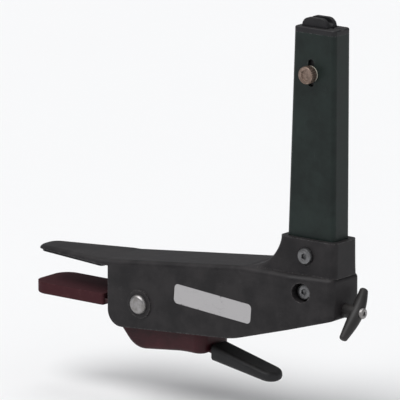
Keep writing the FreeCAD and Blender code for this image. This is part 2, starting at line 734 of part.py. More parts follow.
def make_pivot():
    outer = "(arm_width / 2 + boss_height)"
    tail = f"2 * {outer} + washer_thickness"
    pin, _ = turned("pivot_pin", [
        ("0", "-pin_head_height"),
        ("pin_head_radius", "-pin_head_height", "pin_head_round"),
        ("pin_head_radius", "0"),
        ("pin_radius", "0"),
        ("pin_radius", tail),
        ("clip_groove_radius", tail),
        ("clip_groove_radius", f"{tail} + clip_thickness"),
        ("pin_radius", f"{tail} + clip_thickness"),
        ("pin_radius", f"{tail} + 2 * clip_thickness"),
        ("0", f"{tail} + 2 * clip_thickness"),
    ])
    place(pin, "pivot_distance", f"-{outer}", PIVOT_Z, ALONG_Y)

    washer, _ = turned("pivot_washer", box_corners("pin_radius + pin_gap", "washer_radius",
                                                   "0", "washer_thickness"))
    place(washer, "pivot_distance", outer, PIVOT_Z, ALONG_Y)

    clip = new_body("pivot_clip")
    ring = sketch_on(clip, "clip_ring", "XY_Plane")
    circle(ring, "0", "0", "clip_radius", "outer")
    circle(ring, "0", "0", "clip_groove_radius", "inner")
    pad(clip, "clip_plate", ring, "clip_thickness", symmetric=False)
    gap = sketch_on(clip, "clip_gap", "XY_Plane")
    outline(gap, box_corners("0", "2 * clip_radius", "-clip_groove_radius + clip_snap",
                             "clip_groove_radius - clip_snap"))
    pocket(clip, "clip_mouth", gap, "4 * clip_thickness")
    place(clip, "pivot_distance", f"{outer} + washer_thickness", PIVOT_Z, ALONG_Y)

    bushes, bush = turned("lever_bushes", [
        ("pin_radius + pin_gap", f"{EAR_INNER} - bush_step"),
        ("bush_radius", f"{EAR_INNER} - bush_step"),
        ("bush_radius", LEVER_HALF),
        ("bush_flange_radius", LEVER_HALF),
        ("bush_flange_radius", f"{LEVER_HALF} + bush_flange_thickness"),
        ("pin_radius + pin_gap", f"{LEVER_HALF} + bush_flange_thickness"),
    ])
    mirror(bushes, bush, "XY_Plane")
    place(bushes, "pivot_distance", "0", PIVOT_Z, ALONG_Y)

    end = f"({EAR_INNER} - sleeve_end_gap)"
    sleeve, _ = turned("spring_sleeve", box_corners(
        "pin_radius + pin_gap", "sleeve_radius", f"-{end}", end))
    place(sleeve, "pivot_distance", "0", PIVOT_Z, ALONG_Y)


def biarc(start, start_way, end, end_way):
    """Two arcs that leave and arrive along the given directions and meet smoothly."""
    across = end - start
    ways = start_way + end_way
    quadratic = 2 * (start_way.dot(end_way) - 1)
    linear = -2 * across.dot(ways)
    reach = (-linear - math.sqrt(linear ** 2 - 4 * quadratic * across.dot(across))) / (2 * quadratic)
    first = start + start_way * reach
    second = end - end_way * reach
    middle = (first + second) * 0.5
    return [arc_between(start, first, middle), arc_between(middle, second, end)]


def arc_between(start, corner, end):
    """The arc from start to end that is tangent to the two lines through corner."""
    chord_middle = (start + end) * 0.5
    reach = (corner - start).Length
    half_chord = (end - start).Length / 2
    half_turn = math.acos(min(1.0, half_chord / reach))
    rise = half_chord * math.tan(half_turn / 2)
    top = chord_middle + (corner - chord_middle).normalize() * rise
    return Part.Arc(start, top, end).toShape()


def spring_leg(tip_of_coil, way, foot_way, leg, foot, bend_radius):
    """A leg away from the coil and its bent foot, as edges."""
    turn = way.getAngle(foot_way)
    reach = bend_radius * math.tan(turn / 2)
    corner = tip_of_coil + way * leg
    bend_start = corner - way * reach
    bend_end = corner + foot_way * reach
    end = bend_end + foot_way * foot
    return [Part.LineSegment(tip_of_coil, bend_start).toShape(),
            arc_between(bend_start, corner, bend_end),
            Part.LineSegment(bend_end, end).toShape()]


def make_spring():
    """Torsion spring round the pivot, with one leg under the web and one on the lever's floor."""
    radius = number("coil_radius")
    pitch = number("coil_pitch")
    wire = number("wire_diameter")
    leg = number("spring_leg")
    slope = pitch / (2 * math.pi * radius)
    level = 1 / math.hypot(1, slope)
    rib_foot = f"{TONGUE_ROOT_TOP} + {WEB_SLOPE} * rib_distance - arm_wall - rib_depth"
    rise_seat = number(f"{rib_foot} - {PIVOT_Z} - spring_seat_gap")
    drop_seat = number(f"{PIVOT_Z} + waist_drop - lever_sheet - spring_floor_gap")
    lean_up = leg_angle(rise_seat - wire / 2, radius, leg * level)
    lean_down = leg_angle(drop_seat - wire / 2, radius, leg * level)
    whole_turns = int(number("spring_turns"))
    first_angle = math.pi / 2 + lean_up
    last_angle = 1.5 * math.pi - lean_down + 2 * math.pi * whole_turns
    spans = 2 * whole_turns + 1
    middle = (first_angle + last_angle) / 2

    def spot(angle):
        return FreeCAD.Vector(radius * math.cos(angle), pitch * (angle - middle) / (2 * math.pi),
                              radius * math.sin(angle))

    def way(angle):
        return FreeCAD.Vector(-math.sin(angle), slope, math.cos(angle)) * level

    angles = [first_angle + (last_angle - first_angle) * i / spans for i in range(spans + 1)]
    coil = []
    for before, after in zip(angles, angles[1:]):
        coil += biarc(spot(before), way(before), spot(after), way(after))
    foot = number("spring_foot")
    bend = number("spring_bend_radius")
    drift = slope * level
    flat = math.sqrt(1 - drift ** 2)
    web_lean = math.atan(number(WEB_SLOPE))
    up_foot = FreeCAD.Vector(math.cos(web_lean) * flat, -drift, math.sin(web_lean) * flat)
    down_foot = FreeCAD.Vector(flat, drift, 0)
    up = spring_leg(spot(angles[0]), way(angles[0]) * -1, up_foot, leg, foot, bend)
    down = spring_leg(spot(angles[-1]), way(angles[-1]), down_foot, leg, foot, bend)
    up_wire = [edge.copy() for edge in reversed(up)]
    path = Part.Wire(Part.__sortEdges__(up_wire + coil + down))
    section = Part.Wire(Part.Circle(up[-1].Vertexes[-1].Point, up_foot, wire / 2).toShape())
    solid = path.makePipeShell([section], True, False)

    steps = 8
    points = [point for edge in coil for point in edge.discretize(steps + 1)[:-1]]
    most_of_a_turn = 3 * steps
    least = min((a - b).Length for i, a in enumerate(points) for b in points[i + most_of_a_turn:])
    print(f"torsion_spring: least gap to itself {least - wire:.2f} mm, "
          f"wire length {path.Length:.1f} mm, volume over that of a straight wire "
          f"{solid.Volume / (path.Length * math.pi * wire ** 2 / 4):.4f}")
    feature = DOC.addObject("Part::Feature", "torsion_spring")
    feature.Shape = solid
    SUB_PARTS.append(feature)
    place(feature, "pivot_distance", "0", PIVOT_Z)


def leg_angle(rise, radius, leg):
    """Lean of a leg that leaves a coil on a tangent and climbs to a height above its centre."""
    return math.asin(rise / math.hypot(leg, radius)) - math.atan2(radius, leg)


# Lever: lower jaw plate, ears on the pivot, belly and tang

def grip_line(start, end, distance):
    """Height at a distance from the edge, on a line from one end of the grip to the other."""
    return f"(-({start}) - (({end}) - ({start})) * ({distance} - grip_start) / (grip_end - grip_start))"


def tang_line(distance, offset=""):
    """Height along the tang's middle, which is the grip's middle, or at an offset from it."""
    middle = [f"(grip_top_{side} + grip_bottom_{side}) / 2" for side in ("start", "end")]
    return f"({grip_line(*middle, distance)} {offset})"


def tang_corners(start_x, end_x):
    """Side outline of the tang, one sheet thick."""
    low, high = "- lever_sheet / 2", "+ lever_sheet / 2"
    return [(start_x, tang_line(start_x, low)), (end_x, tang_line(end_x, low)),
            (end_x, tang_line(end_x, high)), (start_x, tang_line(start_x, high))]


def make_lever():
    body = new_body("lever_channel")
    side = sketch_on(body, "lever_side", "XZ_Plane")
    outline(side, [
        ("-jaw_reach", JAW_BOTTOM_Z),
        ("-jaw_bend_distance", JAW_BOTTOM_Z),
        ("belly_distance", "-belly_drop", "belly_radius"),
        ("waist_distance", "-waist_drop", "waist_radius"),
        ("flank_end", tang_line("flank_end", "- lever_sheet / 2")),
        ("flank_end", "-flank_end_drop"),
        ("flank_distance", "-flank_drop", "flank_radius"),
        ("pivot_distance + ear_spread", "-pivot_drop + ear_radius", "ear_radius"),
        ("pivot_distance - ear_spread", "-pivot_drop + ear_radius", "ear_front_radius"),
        ("pivot_distance - ear_front_spread", JAW_TOP_Z, "ear_root_radius"),
        ("-jaw_reach", JAW_TOP_Z),
    ])
    pad(body, "lever_block", side, f"2 * {LEVER_HALF}")
    tip = number("-jaw_reach") + 0.01
    round_edges(body, "jaw_corners", "jaw_corner", lambda edge: (
        edge.BoundBox.XMax < tip and edge.BoundBox.YLength < 0.01))
    back = number("flank_end") - 0.01
    round_edges(body, "flank_corners", "flank_corner_radius", lambda edge: (
        edge.BoundBox.XMin > back and edge.BoundBox.YLength < 0.01))

    low = number("-flank_end_drop") - 2
    outside = number(LEVER_HALF) - 0.01
    round_edges(body, "channel_bends", "lever_edge_radius", lambda edge: (
        abs(edge.CenterOfMass.y) > outside and edge.CenterOfMass.z < low
        and edge.BoundBox.XLength > 1))

    tang = sketch_on(body, "tang_side", "XZ_Plane")
    outline(tang, tang_corners("flank_end - tang_overlap", "grip_end - tang_end_gap"))
    pad(body, "tang_strip", tang, "tang_width")

    inside = sketch_on(body, "channel_inside", "XZ_Plane")
    end = "(flank_end - lever_sheet)"
    outline(inside, [
        ("-trough_start", "0"),
        ("-trough_start", JAW_TOP_Z, "trough_corner"),
        ("belly_distance + trough_shift", "-belly_drop + lever_sheet", "belly_radius - lever_sheet"),
        ("waist_distance", "-waist_drop + lever_sheet", "waist_radius - lever_sheet"),
        (end, tang_line("flank_end", "+ lever_sheet / 2")),
        (end, "0"),
    ])
    pocket(body, "channel_hollow", inside, f"2 * {EAR_INNER}")
    inner_back = number(end)
    round_edges(body, "hollow_corners", "flank_corner_radius - lever_sheet", lambda edge: (
        abs(edge.CenterOfMass.x - inner_back) < 0.01 and edge.BoundBox.ZLength > 5))
    ears = sketch_on(body, "ear_hole", "XZ_Plane")
    circle(ears, "pivot_distance", PIVOT_Z, "bush_radius")
    pocket(body, "ear_bores", ears, "2 * arm_width")
    place(body)

    grip = new_body("handle_grip")
    outer = sketch_on(grip, "grip_side", "XZ_Plane")
    top = ("grip_top_start", "grip_top_end")
    bottom = ("grip_bottom_start", "grip_bottom_end")
    outline(outer, [
        ("grip_start", grip_line(*bottom, "grip_start")),
        ("grip_end", grip_line(*bottom, "grip_end")),
        ("grip_end", grip_line(*top, "grip_end")),
        ("grip_start", grip_line(*top, "grip_start")),
    ])
    pad(grip, "grip_block", outer, "grip_width")
    far = number("grip_end") - 0.01
    round_edges(grip, "grip_tip", "grip_tip_radius", lambda edge: (
        edge.BoundBox.XMin > far and edge.BoundBox.YLength < 0.01))
    near = number("grip_start") + 0.01
    half = number("grip_width / 2") - 0.01
    round_edges(grip, "grip_round", "grip_edge_radius", lambda edge: (
        abs(edge.CenterOfMass.y) > half and edge.BoundBox.XMax > near
        and edge.BoundBox.XLength > 1))
    inner = sketch_on(grip, "grip_inside", "XZ_Plane")
    outline(inner, tang_corners("grip_start - grip_edge_radius", "grip_end - tang_end_gap"))
    pocket(grip, "grip_mouth", inner, "tang_width")
    place(grip)


# Cleat on the outer end, for tying off the net's cord

def make_cleat():
    body = new_body("cord_cleat")
    foot = sketch_on(body, "cleat_foot", "YZ_Plane")
    circle(foot, "0", "0", "cleat_foot_radius")
    pad(body, "cleat_stem", foot, "cleat_gap + cleat_bar_radius", symmetric=False)
    sections = []
    for i, share in enumerate(HORN_SHARES):
        horn = "cleat_long_horn" if share < 0 else "cleat_short_horn"
        fullness = round(math.cos(share * math.pi / 2), 4)
        radius = f"(cleat_tip_radius + (cleat_bar_radius - cleat_tip_radius) * {fullness})"
        section = sketch_on(body, f"horn_section_{i}", "XY_Plane", f"{share} * {horn}" if share else "0")
        circle(section, f"cleat_gap + {radius}", "0", radius)
        sections.append(section)
    loft(body, "cleat_horns", sections, ruled=False)
    high = number("cleat_short_horn") - 0.01
    low = number("-cleat_long_horn") + 0.01
    round_edges(body, "horn_tips", "cleat_tip_round", lambda edge: (
        edge.BoundBox.ZMin > high or edge.BoundBox.ZMax < low))
    flat = sketch_on(body, "screw_flat", "YZ_Plane", CLEAT_FLAT)
    circle(flat, "0", "0", "cleat_screw_head_radius + cleat_seat_gap")
    pocket(body, "screw_seat", flat, "2 * cleat_bar_radius", symmetric=False, reverse=True)
    hole = sketch_on(body, "cleat_screw_hole", "YZ_Plane")
    circle(hole, "0", "0", "cleat_screw_radius")
    pocket(body, "cleat_screw_bore", hole, "4 * (cleat_gap + cleat_bar_radius)")
    tilt = FreeCAD.Rotation(FreeCAD.Vector(1, 0, 0), -number("cleat_tilt"))
    place(body, END_X, "0", "-cleat_drop", tilt)

    depth = f"(-{CLEAT_FLAT} - cleat_screw_depth + cleat_screw_end_gap)"
    screw, _ = turned("cleat_screw", [
        ("0", "cleat_screw_head_height"),
        ("cleat_screw_head_radius - cleat_screw_chamfer", "cleat_screw_head_height"),
        ("cleat_screw_head_radius", "cleat_screw_head_height - cleat_screw_chamfer"),
        ("cleat_screw_head_radius", "0"),
        ("cleat_screw_radius", "0"),
        ("cleat_screw_radius", depth),
        ("0", depth),
    ])
    place(screw, f"{END_X} + {CLEAT_FLAT}", "0", "-cleat_drop", ALONG_X)


# Height adjuster in the top of the post, and its lock screw

def make_slider():
    body = new_body("height_slider")
    block_top = "(post_height - cap_thickness - cap_plug_depth - slot_up - slider_top_gap)"
    half_block = "(post_width / 2 - post_wall - slider_gap)"
    stem = sketch_on(body, "slider_stem", "XZ_Plane")
    outline(stem, [
        (SLIDER_X, f"{block_top} - slider_block_height"),
        (f"{SLIDER_X} + slider_length", f"{block_top} - slider_block_height"),
        (f"{SLIDER_X} + slider_length", "post_height + slider_height", "slider_top_radius"),
        (SLIDER_X, "post_height + slider_height", "slider_top_radius"),
    ])
    pad(body, "slider_stem_block", stem, "slider_width")
    foot = sketch_on(body, "slider_foot", "XZ_Plane")
    outline(foot, box_corners(f"{LOCK_X} - slider_block_length / 2", f"{LOCK_X} + slider_block_length / 2",
                              f"{block_top} - slider_block_height", block_top, "slider_block_corner"))
    pad(body, "slider_foot_block", foot, f"2 * {half_block}")
    groove = sketch_on(body, "slider_groove", "YZ_Plane")
    outline(groove, box_corners("-groove_width / 2", "groove_width / 2",
                                "post_height + slider_height - groove_depth",
                                "post_height + slider_height + groove_depth", "groove_width / 2 - 0.1"))
    pocket(body, "slider_groove_cut", groove, "4 * post_reach")
    hole = sketch_on(body, "insert_hole", "XZ_Plane", half_block)
    circle(hole, LOCK_X, LOCK_Z, "insert_radius")
    pocket(body, "insert_bore", hole, "insert_length", symmetric=False)
    place(body)

    insert, _ = turned("slider_insert", box_corners("lock_radius + pin_gap", "insert_radius",
                                                    "0", "insert_length"))
    place(insert, LOCK_X, f"-{half_block}", LOCK_Z, ALONG_Y)

    face = "(post_width / 2)"
    washer, _ = turned("lock_washer", box_corners("lock_radius", "lock_washer_radius",
                                                  "0", "lock_washer_thickness"))
    place(washer, LOCK_X, f"-{face} - slot_gap - lock_washer_thickness", LOCK_Z, ALONG_Y)
    reach = f"({face} - {half_block} + slot_gap + lock_washer_thickness + insert_length - lock_end_gap)"
    screw, _ = turned("lock_screw", [
        ("0", "-lock_head_height"),
        ("lock_head_radius - lock_head_chamfer", "-lock_head_height"),
        ("lock_head_radius", "-lock_head_height + lock_head_chamfer"),
        ("lock_head_radius", "0"),
        ("lock_radius", "0"),
        ("lock_radius", reach),
        ("0", reach),
    ])
    place(screw, LOCK_X, f"-{face} - slot_gap - lock_washer_thickness", LOCK_Z, ALONG_Y)


def write_parts():
    DOC.recompute()
    for item in DOC.Objects:
        if any(state in ("Invalid", "Error") for state in item.State):
            raise RuntimeError(f"{item.Label} failed: {item.State}")
    for item in SUB_PARTS:
        shape = item.Shape
        if shape.isNull() or not shape.isValid() or not shape.Solids:
            raise RuntimeError(f"{item.Label} has no sound solid")
    os.makedirs("parts", exist_ok=True)
    for item in SUB_PARTS:
        item.Shape.exportStep(f"parts/{item.Label}.step")
        box = item.Shape.BoundBox
        print(f"{item.Label}: {len(item.Shape.Solids)} solid(s), {item.Shape.Volume:.0f} mm3, "
              f"X {box.XMin:.1f} to {box.XMax:.1f}, Y {box.YMin:.1f} to {box.YMax:.1f}, "
              f"Z {box.ZMin:.1f} to {box.ZMax:.1f}")


make_arm()
make_pads()
make_post()
make_cap()
make_bolts()
make_pivot()
make_spring()
make_lever()
make_cleat()
make_slider()
write_parts()
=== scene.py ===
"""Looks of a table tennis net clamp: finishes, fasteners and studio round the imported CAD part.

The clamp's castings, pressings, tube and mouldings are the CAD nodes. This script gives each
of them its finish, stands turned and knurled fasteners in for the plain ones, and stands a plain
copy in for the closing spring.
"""

from __future__ import annotations

import logging
import math
from collections.abc import Callable, Iterable
from dataclasses import dataclass, field
from enum import Enum

import bmesh
import bpy
from mathutils import Matrix, Vector

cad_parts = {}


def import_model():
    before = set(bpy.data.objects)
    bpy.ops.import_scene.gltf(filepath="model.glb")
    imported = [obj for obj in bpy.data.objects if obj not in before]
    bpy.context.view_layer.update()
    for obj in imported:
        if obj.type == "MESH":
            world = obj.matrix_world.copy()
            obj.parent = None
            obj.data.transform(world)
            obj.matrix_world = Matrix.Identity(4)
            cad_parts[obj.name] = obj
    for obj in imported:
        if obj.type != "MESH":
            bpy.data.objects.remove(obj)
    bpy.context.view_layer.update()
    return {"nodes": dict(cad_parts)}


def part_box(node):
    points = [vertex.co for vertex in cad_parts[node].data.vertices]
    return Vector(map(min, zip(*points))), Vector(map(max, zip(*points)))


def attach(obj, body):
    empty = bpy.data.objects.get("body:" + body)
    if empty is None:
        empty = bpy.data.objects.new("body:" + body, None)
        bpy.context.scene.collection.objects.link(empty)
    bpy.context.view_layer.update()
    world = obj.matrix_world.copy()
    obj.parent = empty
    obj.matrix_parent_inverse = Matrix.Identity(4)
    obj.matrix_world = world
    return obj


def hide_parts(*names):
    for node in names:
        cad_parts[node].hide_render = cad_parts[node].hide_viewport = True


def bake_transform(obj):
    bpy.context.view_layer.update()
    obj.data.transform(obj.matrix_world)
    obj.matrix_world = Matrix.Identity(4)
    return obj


log = logging.getLogger("net_clamp")

Colour = tuple[float, float, float]
Range = tuple[float, float]
Radius = Callable[[float], float]

MM = 0.001
MERGE_UNDER = 0.0001 * MM
SMOOTH_UNDER_DEGREES = 32.0


class Body(Enum):
    """The bodies that new pieces ride, as the CAD part names them."""

    ARM = "arm"
    LEVER = "lever"
    LOCK = "lock"


class Drive(Enum):
    """What a screw's head is turned by."""

    HEXAGON = "hexagon socket"
    LOBED = "six-lobed socket"
    TURNED_RECESS = "turned recess"


class Axis(Enum):
    """A direction in the part's frame that a turned piece can point along."""

    MINUS_Y = (0.0, -1.0, 0.0)
    PLUS_Y = (0.0, 1.0, 0.0)
    PLUS_X = (1.0, 0.0, 0.0)

    def turn_to(self, place: Vector) -> Matrix:
        """Gives the matrix that takes +Z to this direction and the origin to a place.

        Args:
            place: where the turned piece's own origin goes, in metres.

        Returns:
            The rotation and translation as one 4 x 4 matrix.
        """
        turn = Vector((0.0, 0.0, 1.0)).rotation_difference(Vector(self.value))
        return Matrix.Translation(place) @ turn.to_matrix().to_4x4()


# Node trees


class Tree:
    """Adds and links nodes in one material's or one group's tree."""

    def __init__(self, tree: bpy.types.NodeTree) -> None:
        """Keeps the tree that the nodes go into.

        Args:
            tree: an empty material or group tree.
        """
        self.tree = tree

    def add(self, kind: str, **settings: object) -> bpy.types.Node:
        """Adds a node.

        Args:
            kind: the node's type name without its ShaderNode prefix.
            **settings: properties to set on it.

        Returns:
            The new node.
        """
        node = self.tree.nodes.new(f"ShaderNode{kind}")
        for name, value in settings.items():
            setattr(node, name, value)
        return node

    def feed(self, socket: bpy.types.NodeSocket, value: object) -> None:
        """Links a socket to another, or sets its plain value.

        Args:
            socket: the input to fill.
            value: an output socket, a number, a vector or a colour.
        """
        if isinstance(value, bpy.types.NodeSocket):
            self.tree.links.new(value, socket)
        elif socket.type == "RGBA":
            socket.default_value = (*value, 1.0)
        else:
            socket.default_value = value

    def math(self, operation: str, *values: object, clamp: bool = False) -> bpy.types.NodeSocket:
        """Adds a Math node.

        Args:
            operation: the node's operation, such as MULTIPLY.
            *values: one socket or number for each input.
            clamp: whether the result is kept within 0 and 1.

        Returns:
            The node's output.
        """
        node = self.add("Math", operation=operation, use_clamp=clamp)
        for socket, value in zip(node.inputs, values):
            self.feed(socket, value)
        return node.outputs[0]

    def ramp(self, value: object, low: float, high: float, start: float = 0.0,
             end: float = 1.0) -> bpy.types.NodeSocket:
        """Maps a value smoothly from one range to another.

        Args:
            value: the socket to read.
            low: the value that gives start.
            high: the value that gives end.
            start: the result at and below low.
            end: the result at and above high.

        Returns:
            The mapped value.
        """
        node = self.add("MapRange", interpolation_type="SMOOTHSTEP")
        for socket, setting in zip(node.inputs, (value, low, high, start, end)):
            self.feed(socket, setting)
        return node.outputs[0]

    def blend(self, share: object, under: object, over: object) -> bpy.types.NodeSocket:
        """Mixes two colours.

        Args:
            share: how much of the second colour shows, from 0 to 1.
            under: the first colour.
            over: the second colour.

        Returns:
            The mixed colour.
        """
        node = self.add("Mix", data_type="RGBA")
        self.feed(node.inputs["Factor"], share)
        self.feed(node.inputs[6], under)
        self.feed(node.inputs[7], over)
        return node.outputs[2]

    def slide(self, share: object, under: object, over: object) -> bpy.types.NodeSocket:
        """Mixes two numbers.

        Args:
            share: how much of the second number counts, from 0 to 1.
            under: the first number.
            over: the second number.

        Returns:
            The mixed number.
        """
        node = self.add("Mix", data_type="FLOAT")
        self.feed(node.inputs["Factor"], share)
        self.feed(node.inputs[2], under)
        self.feed(node.inputs[3], over)
        return node.outputs[0]

    def place(self) -> bpy.types.NodeSocket:
        """Gives the point on the object in the part's own frame, in metres."""
        return self.add("TexCoord").outputs["Object"]

    def noise(self, vector: object, scale: object, detail: float = 3.0,
              roughness: float = 0.55) -> bpy.types.NodeSocket:
        """Adds cloudy noise.

        Args:
            vector: where the noise is read.
            scale: cells in a metre.
            detail: how many finer layers it has.
            roughness: how strong the finer layers are.

        Returns:
            The noise's value, from 0 to 1.
        """
        node = self.add("TexNoise")
        self.feed(node.inputs["Vector"], vector)
        self.feed(node.inputs["Scale"], scale)
        self.feed(node.inputs["Detail"], detail)
        self.feed(node.inputs["Roughness"], roughness)
        return node.outputs["Fac"]


class Effect:
    """A surface effect that several finishes share, kept as a shader node group."""

    label = "effect"
    numbers: tuple[tuple[str, float], ...] = ()
    outputs: tuple[str, ...] = ("Mask",)

    def __init__(self) -> None:
        """Makes the group with its sockets and lets the subclass fill it."""
        self.group = bpy.data.node_groups.new(self.label, "ShaderNodeTree")
        for name, value in self.numbers:
            socket = self.group.interface.new_socket(name, in_out="INPUT", socket_type="NodeSocketFloat")
            socket.default_value = value
        for name in self.outputs:
            self.group.interface.new_socket(name, in_out="OUTPUT", socket_type="NodeSocketFloat")
        tree = Tree(self.group)
        inputs = self.group.nodes.new("NodeGroupInput").outputs
        results = self.group.nodes.new("NodeGroupOutput").inputs
        self.fill(tree, inputs, results)

    def fill(self, tree: Tree, inputs: bpy.types.NodeOutputs, results: bpy.types.NodeInputs) -> None:
        """Builds the effect between the group's inputs and outputs."""
        raise NotImplementedError

    def use(self, tree: Tree, **values: object) -> bpy.types.NodeOutputs:
        """Places the group in a material.

        Args:
            tree: the material's tree.
            **values: a number or socket for each named input, with spaces as underscores.

        Returns:
            The placed group's outputs.
        """
        node = tree.add("Group", node_tree=self.group)
        for name, value in values.items():
            tree.feed(node.inputs[name.replace("_", " ").capitalize()], value)
        return node.outputs


class EdgeWear(Effect):
    """Where hands and tables rub a finish off the edges."""

    label = "edge_wear"
    numbers = (("Reach", 0.8 * MM), ("Amount", 1.0), ("Breakup", 900.0))
    samples = 4
    lean: Range = (0.015, 0.16)
    patches: Range = (0.42, 0.66)

    def fill(self, tree: Tree, inputs: bpy.types.NodeOutputs, results: bpy.types.NodeInputs) -> None:
        """Finds edges by how far a rounded normal leans from the true one.

        Args:
            tree: the group's tree.
            inputs: the group's own inputs.
            results: the group's own outputs, to be fed.
        """
        rounded = tree.add("Bevel", samples=self.samples)
        tree.feed(rounded.inputs["Radius"], inputs["Reach"])
        lean = tree.add("VectorMath", operation="DOT_PRODUCT")
        tree.feed(lean.inputs[0], rounded.outputs["Normal"])
        tree.feed(lean.inputs[1], tree.add("NewGeometry").outputs["Normal"])
        edge = tree.ramp(tree.math("SUBTRACT", 1.0, lean.outputs["Value"]), *self.lean)
        cloud = tree.noise(tree.place(), inputs["Breakup"], detail=4.0, roughness=0.65)
        patchy = tree.ramp(cloud, *self.patches)
        tree.feed(results["Mask"], tree.math("MULTIPLY", tree.math("MULTIPLY", edge, patchy),
                                             inputs["Amount"], clamp=True))


class Grain(Effect):
    """Fine even texture: paint's orange peel, a mould's spark grain, a casting's skin."""

    label = "fine_grain"
    numbers = (("Size", 0.5), ("Cloud size", 14.0))
    outputs = ("Height", "Cloud")

    def fill(self, tree: Tree, inputs: bpy.types.NodeOutputs, results: bpy.types.NodeInputs) -> None:
        """Reads noise at the grain's size in millimetres, and a slow cloud for variation.

        Args:
            tree: the group's tree.
            inputs: the group's own inputs.
            results: the group's own outputs, to be fed.
        """
        where = tree.place()
        fine = tree.math("DIVIDE", 1.0 / MM, inputs["Size"])
        slow = tree.math("DIVIDE", 1.0 / MM, inputs["Cloud size"])
        tree.feed(results["Height"], tree.noise(where, fine, detail=2.0))
        tree.feed(results["Cloud"], tree.noise(where, slow, detail=4.0, roughness=0.6))


class Scratches(Effect):
    """Hairline scratches, longer one way than the others."""

    label = "hairline_scratches"
    numbers = (("Length", 14.0), ("Width", 0.35), ("Amount", 1.0), ("Along x", 0.0), ("Along z", 1.0))
    line: Range = (0.004, 0.014)
    spread = 120.0
    sparse: Range = (0.50, 0.66)

    def fill(self, tree: Tree, inputs: bpy.types.NodeOutputs, results: bpy.types.NodeInputs) -> None:
        """Draws thin level lines of noise that is stretched along the chosen direction.

        Args:
            tree: the group's tree.
            inputs: the group's own inputs.
            results: the group's own outputs, to be fed.
        """
        where = tree.add("SeparateXYZ")
        tree.feed(where.inputs[0], tree.place())
        across = tree.math("DIVIDE", 1.0 / MM, inputs["Width"])
        along = tree.math("DIVIDE", 1.0 / MM, inputs["Length"])
        scaled = tree.add("CombineXYZ")
        for axis, share in (("X", inputs["Along x"]), ("Y", 0.0), ("Z", inputs["Along z"])):
            tree.feed(scaled.inputs[axis],
                      tree.math("MULTIPLY", where.outputs[axis], tree.slide(share, across, along)))
        level = tree.noise(scaled.outputs[0], scale=1.0, detail=1.0)
        from_middle = tree.math("ABSOLUTE", tree.math("SUBTRACT", level, 0.5))
        line = tree.ramp(from_middle, *self.line, start=1.0, end=0.0)
        sparse = tree.ramp(tree.noise(tree.place(), self.spread, detail=2.0), *self.sparse)
        tree.feed(results["Mask"], tree.math("MULTIPLY", tree.math("MULTIPLY", line, sparse),
                                             inputs["Amount"], clamp=True))


class Dust(Effect):
    """Dust that settles on faces that look up."""

    label = "settled_dust"
    numbers = (("Amount", 0.4), ("Patch size", 9.0))
    upward: Range = (0.35, 0.98)
    patches: Range = (0.35, 0.75)
    thinnest = 0.35

    def fill(self, tree: Tree, inputs: bpy.types.NodeOutputs, results: bpy.types.NodeInputs) -> None:
        """Takes the upward part of the normal and breaks it up with noise.

        Args:
            tree: the group's tree.
            inputs: the group's own inputs.
            results: the group's own outputs, to be fed.
        """
        normal = tree.add("SeparateXYZ")
        tree.feed(normal.inputs[0], tree.add("NewGeometry").outputs["Normal"])
        upward = tree.ramp(normal.outputs["Z"], *self.upward)
        scale = tree.math("DIVIDE", 1.0 / MM, inputs["Patch size"])
        cloud = tree.noise(tree.place(), scale, detail=5.0, roughness=0.7)
        patches = tree.ramp(cloud, *self.patches, start=self.thinnest)
        tree.feed(results["Mask"], tree.math("MULTIPLY", tree.math("MULTIPLY", upward, patches),
                                             inputs["Amount"], clamp=True))


@dataclass
class Effects:
    """The shared effects, each built once."""

    wear: EdgeWear = field(default_factory=EdgeWear)
    grain: Grain = field(default_factory=Grain)
    scratches: Scratches = field(default_factory=Scratches)
    dust: Dust = field(default_factory=Dust)


# Finishes

DUST_COLOUR: Colour = (0.16, 0.15, 0.14)


def lighter(colour: Colour, gain: float, lift: float = 0.0) -> Colour:
    """Gives a lighter shade of a colour.

    Args:
        colour: the colour to start from.
        gain: what each channel is multiplied by.
        lift: what is then added to it.

    Returns:
        The lighter colour, no channel over 1.
    """
    red, green, blue = (min(1.0, channel * gain + lift) for channel in colour)
    return red, green, blue


@dataclass(frozen=True)
class Finish:
    """What every finish has: a name and a way to become a material."""

    name: str

    def material(self, effects: Effects) -> bpy.types.Material:
        """Makes the finish's material.

        Args:
            effects: the shared effects.

        Returns:
            The new material, with its Principled shader filled in.
        """
        made = bpy.data.materials.new(self.name)
        made.use_nodes = True
        tree = Tree(made.node_tree)
        shader = made.node_tree.nodes["Principled BSDF"]
        self.fill(tree, shader, effects)
        return made

    def fill(self, tree: Tree, shader: bpy.types.Node, effects: Effects) -> None:
        """Feeds the shader."""
        raise NotImplementedError

    @staticmethod
    def bump(tree: Tree, shader: bpy.types.Node, height: object, depth: float) -> None:
        """Feeds the shader's normal from a height.

        Args:
            tree: the material's tree.
            shader: its Principled shader.
            height: the height's socket, from 0 to 1.
            depth: how deep the full height is, in millimetres.
        """
        node = tree.add("Bump")
        tree.feed(node.inputs["Strength"], 1.0)
        tree.feed(node.inputs["Distance"], depth * MM)
        tree.feed(node.inputs["Height"], height)
        tree.feed(shader.inputs["Normal"], node.outputs["Normal"])


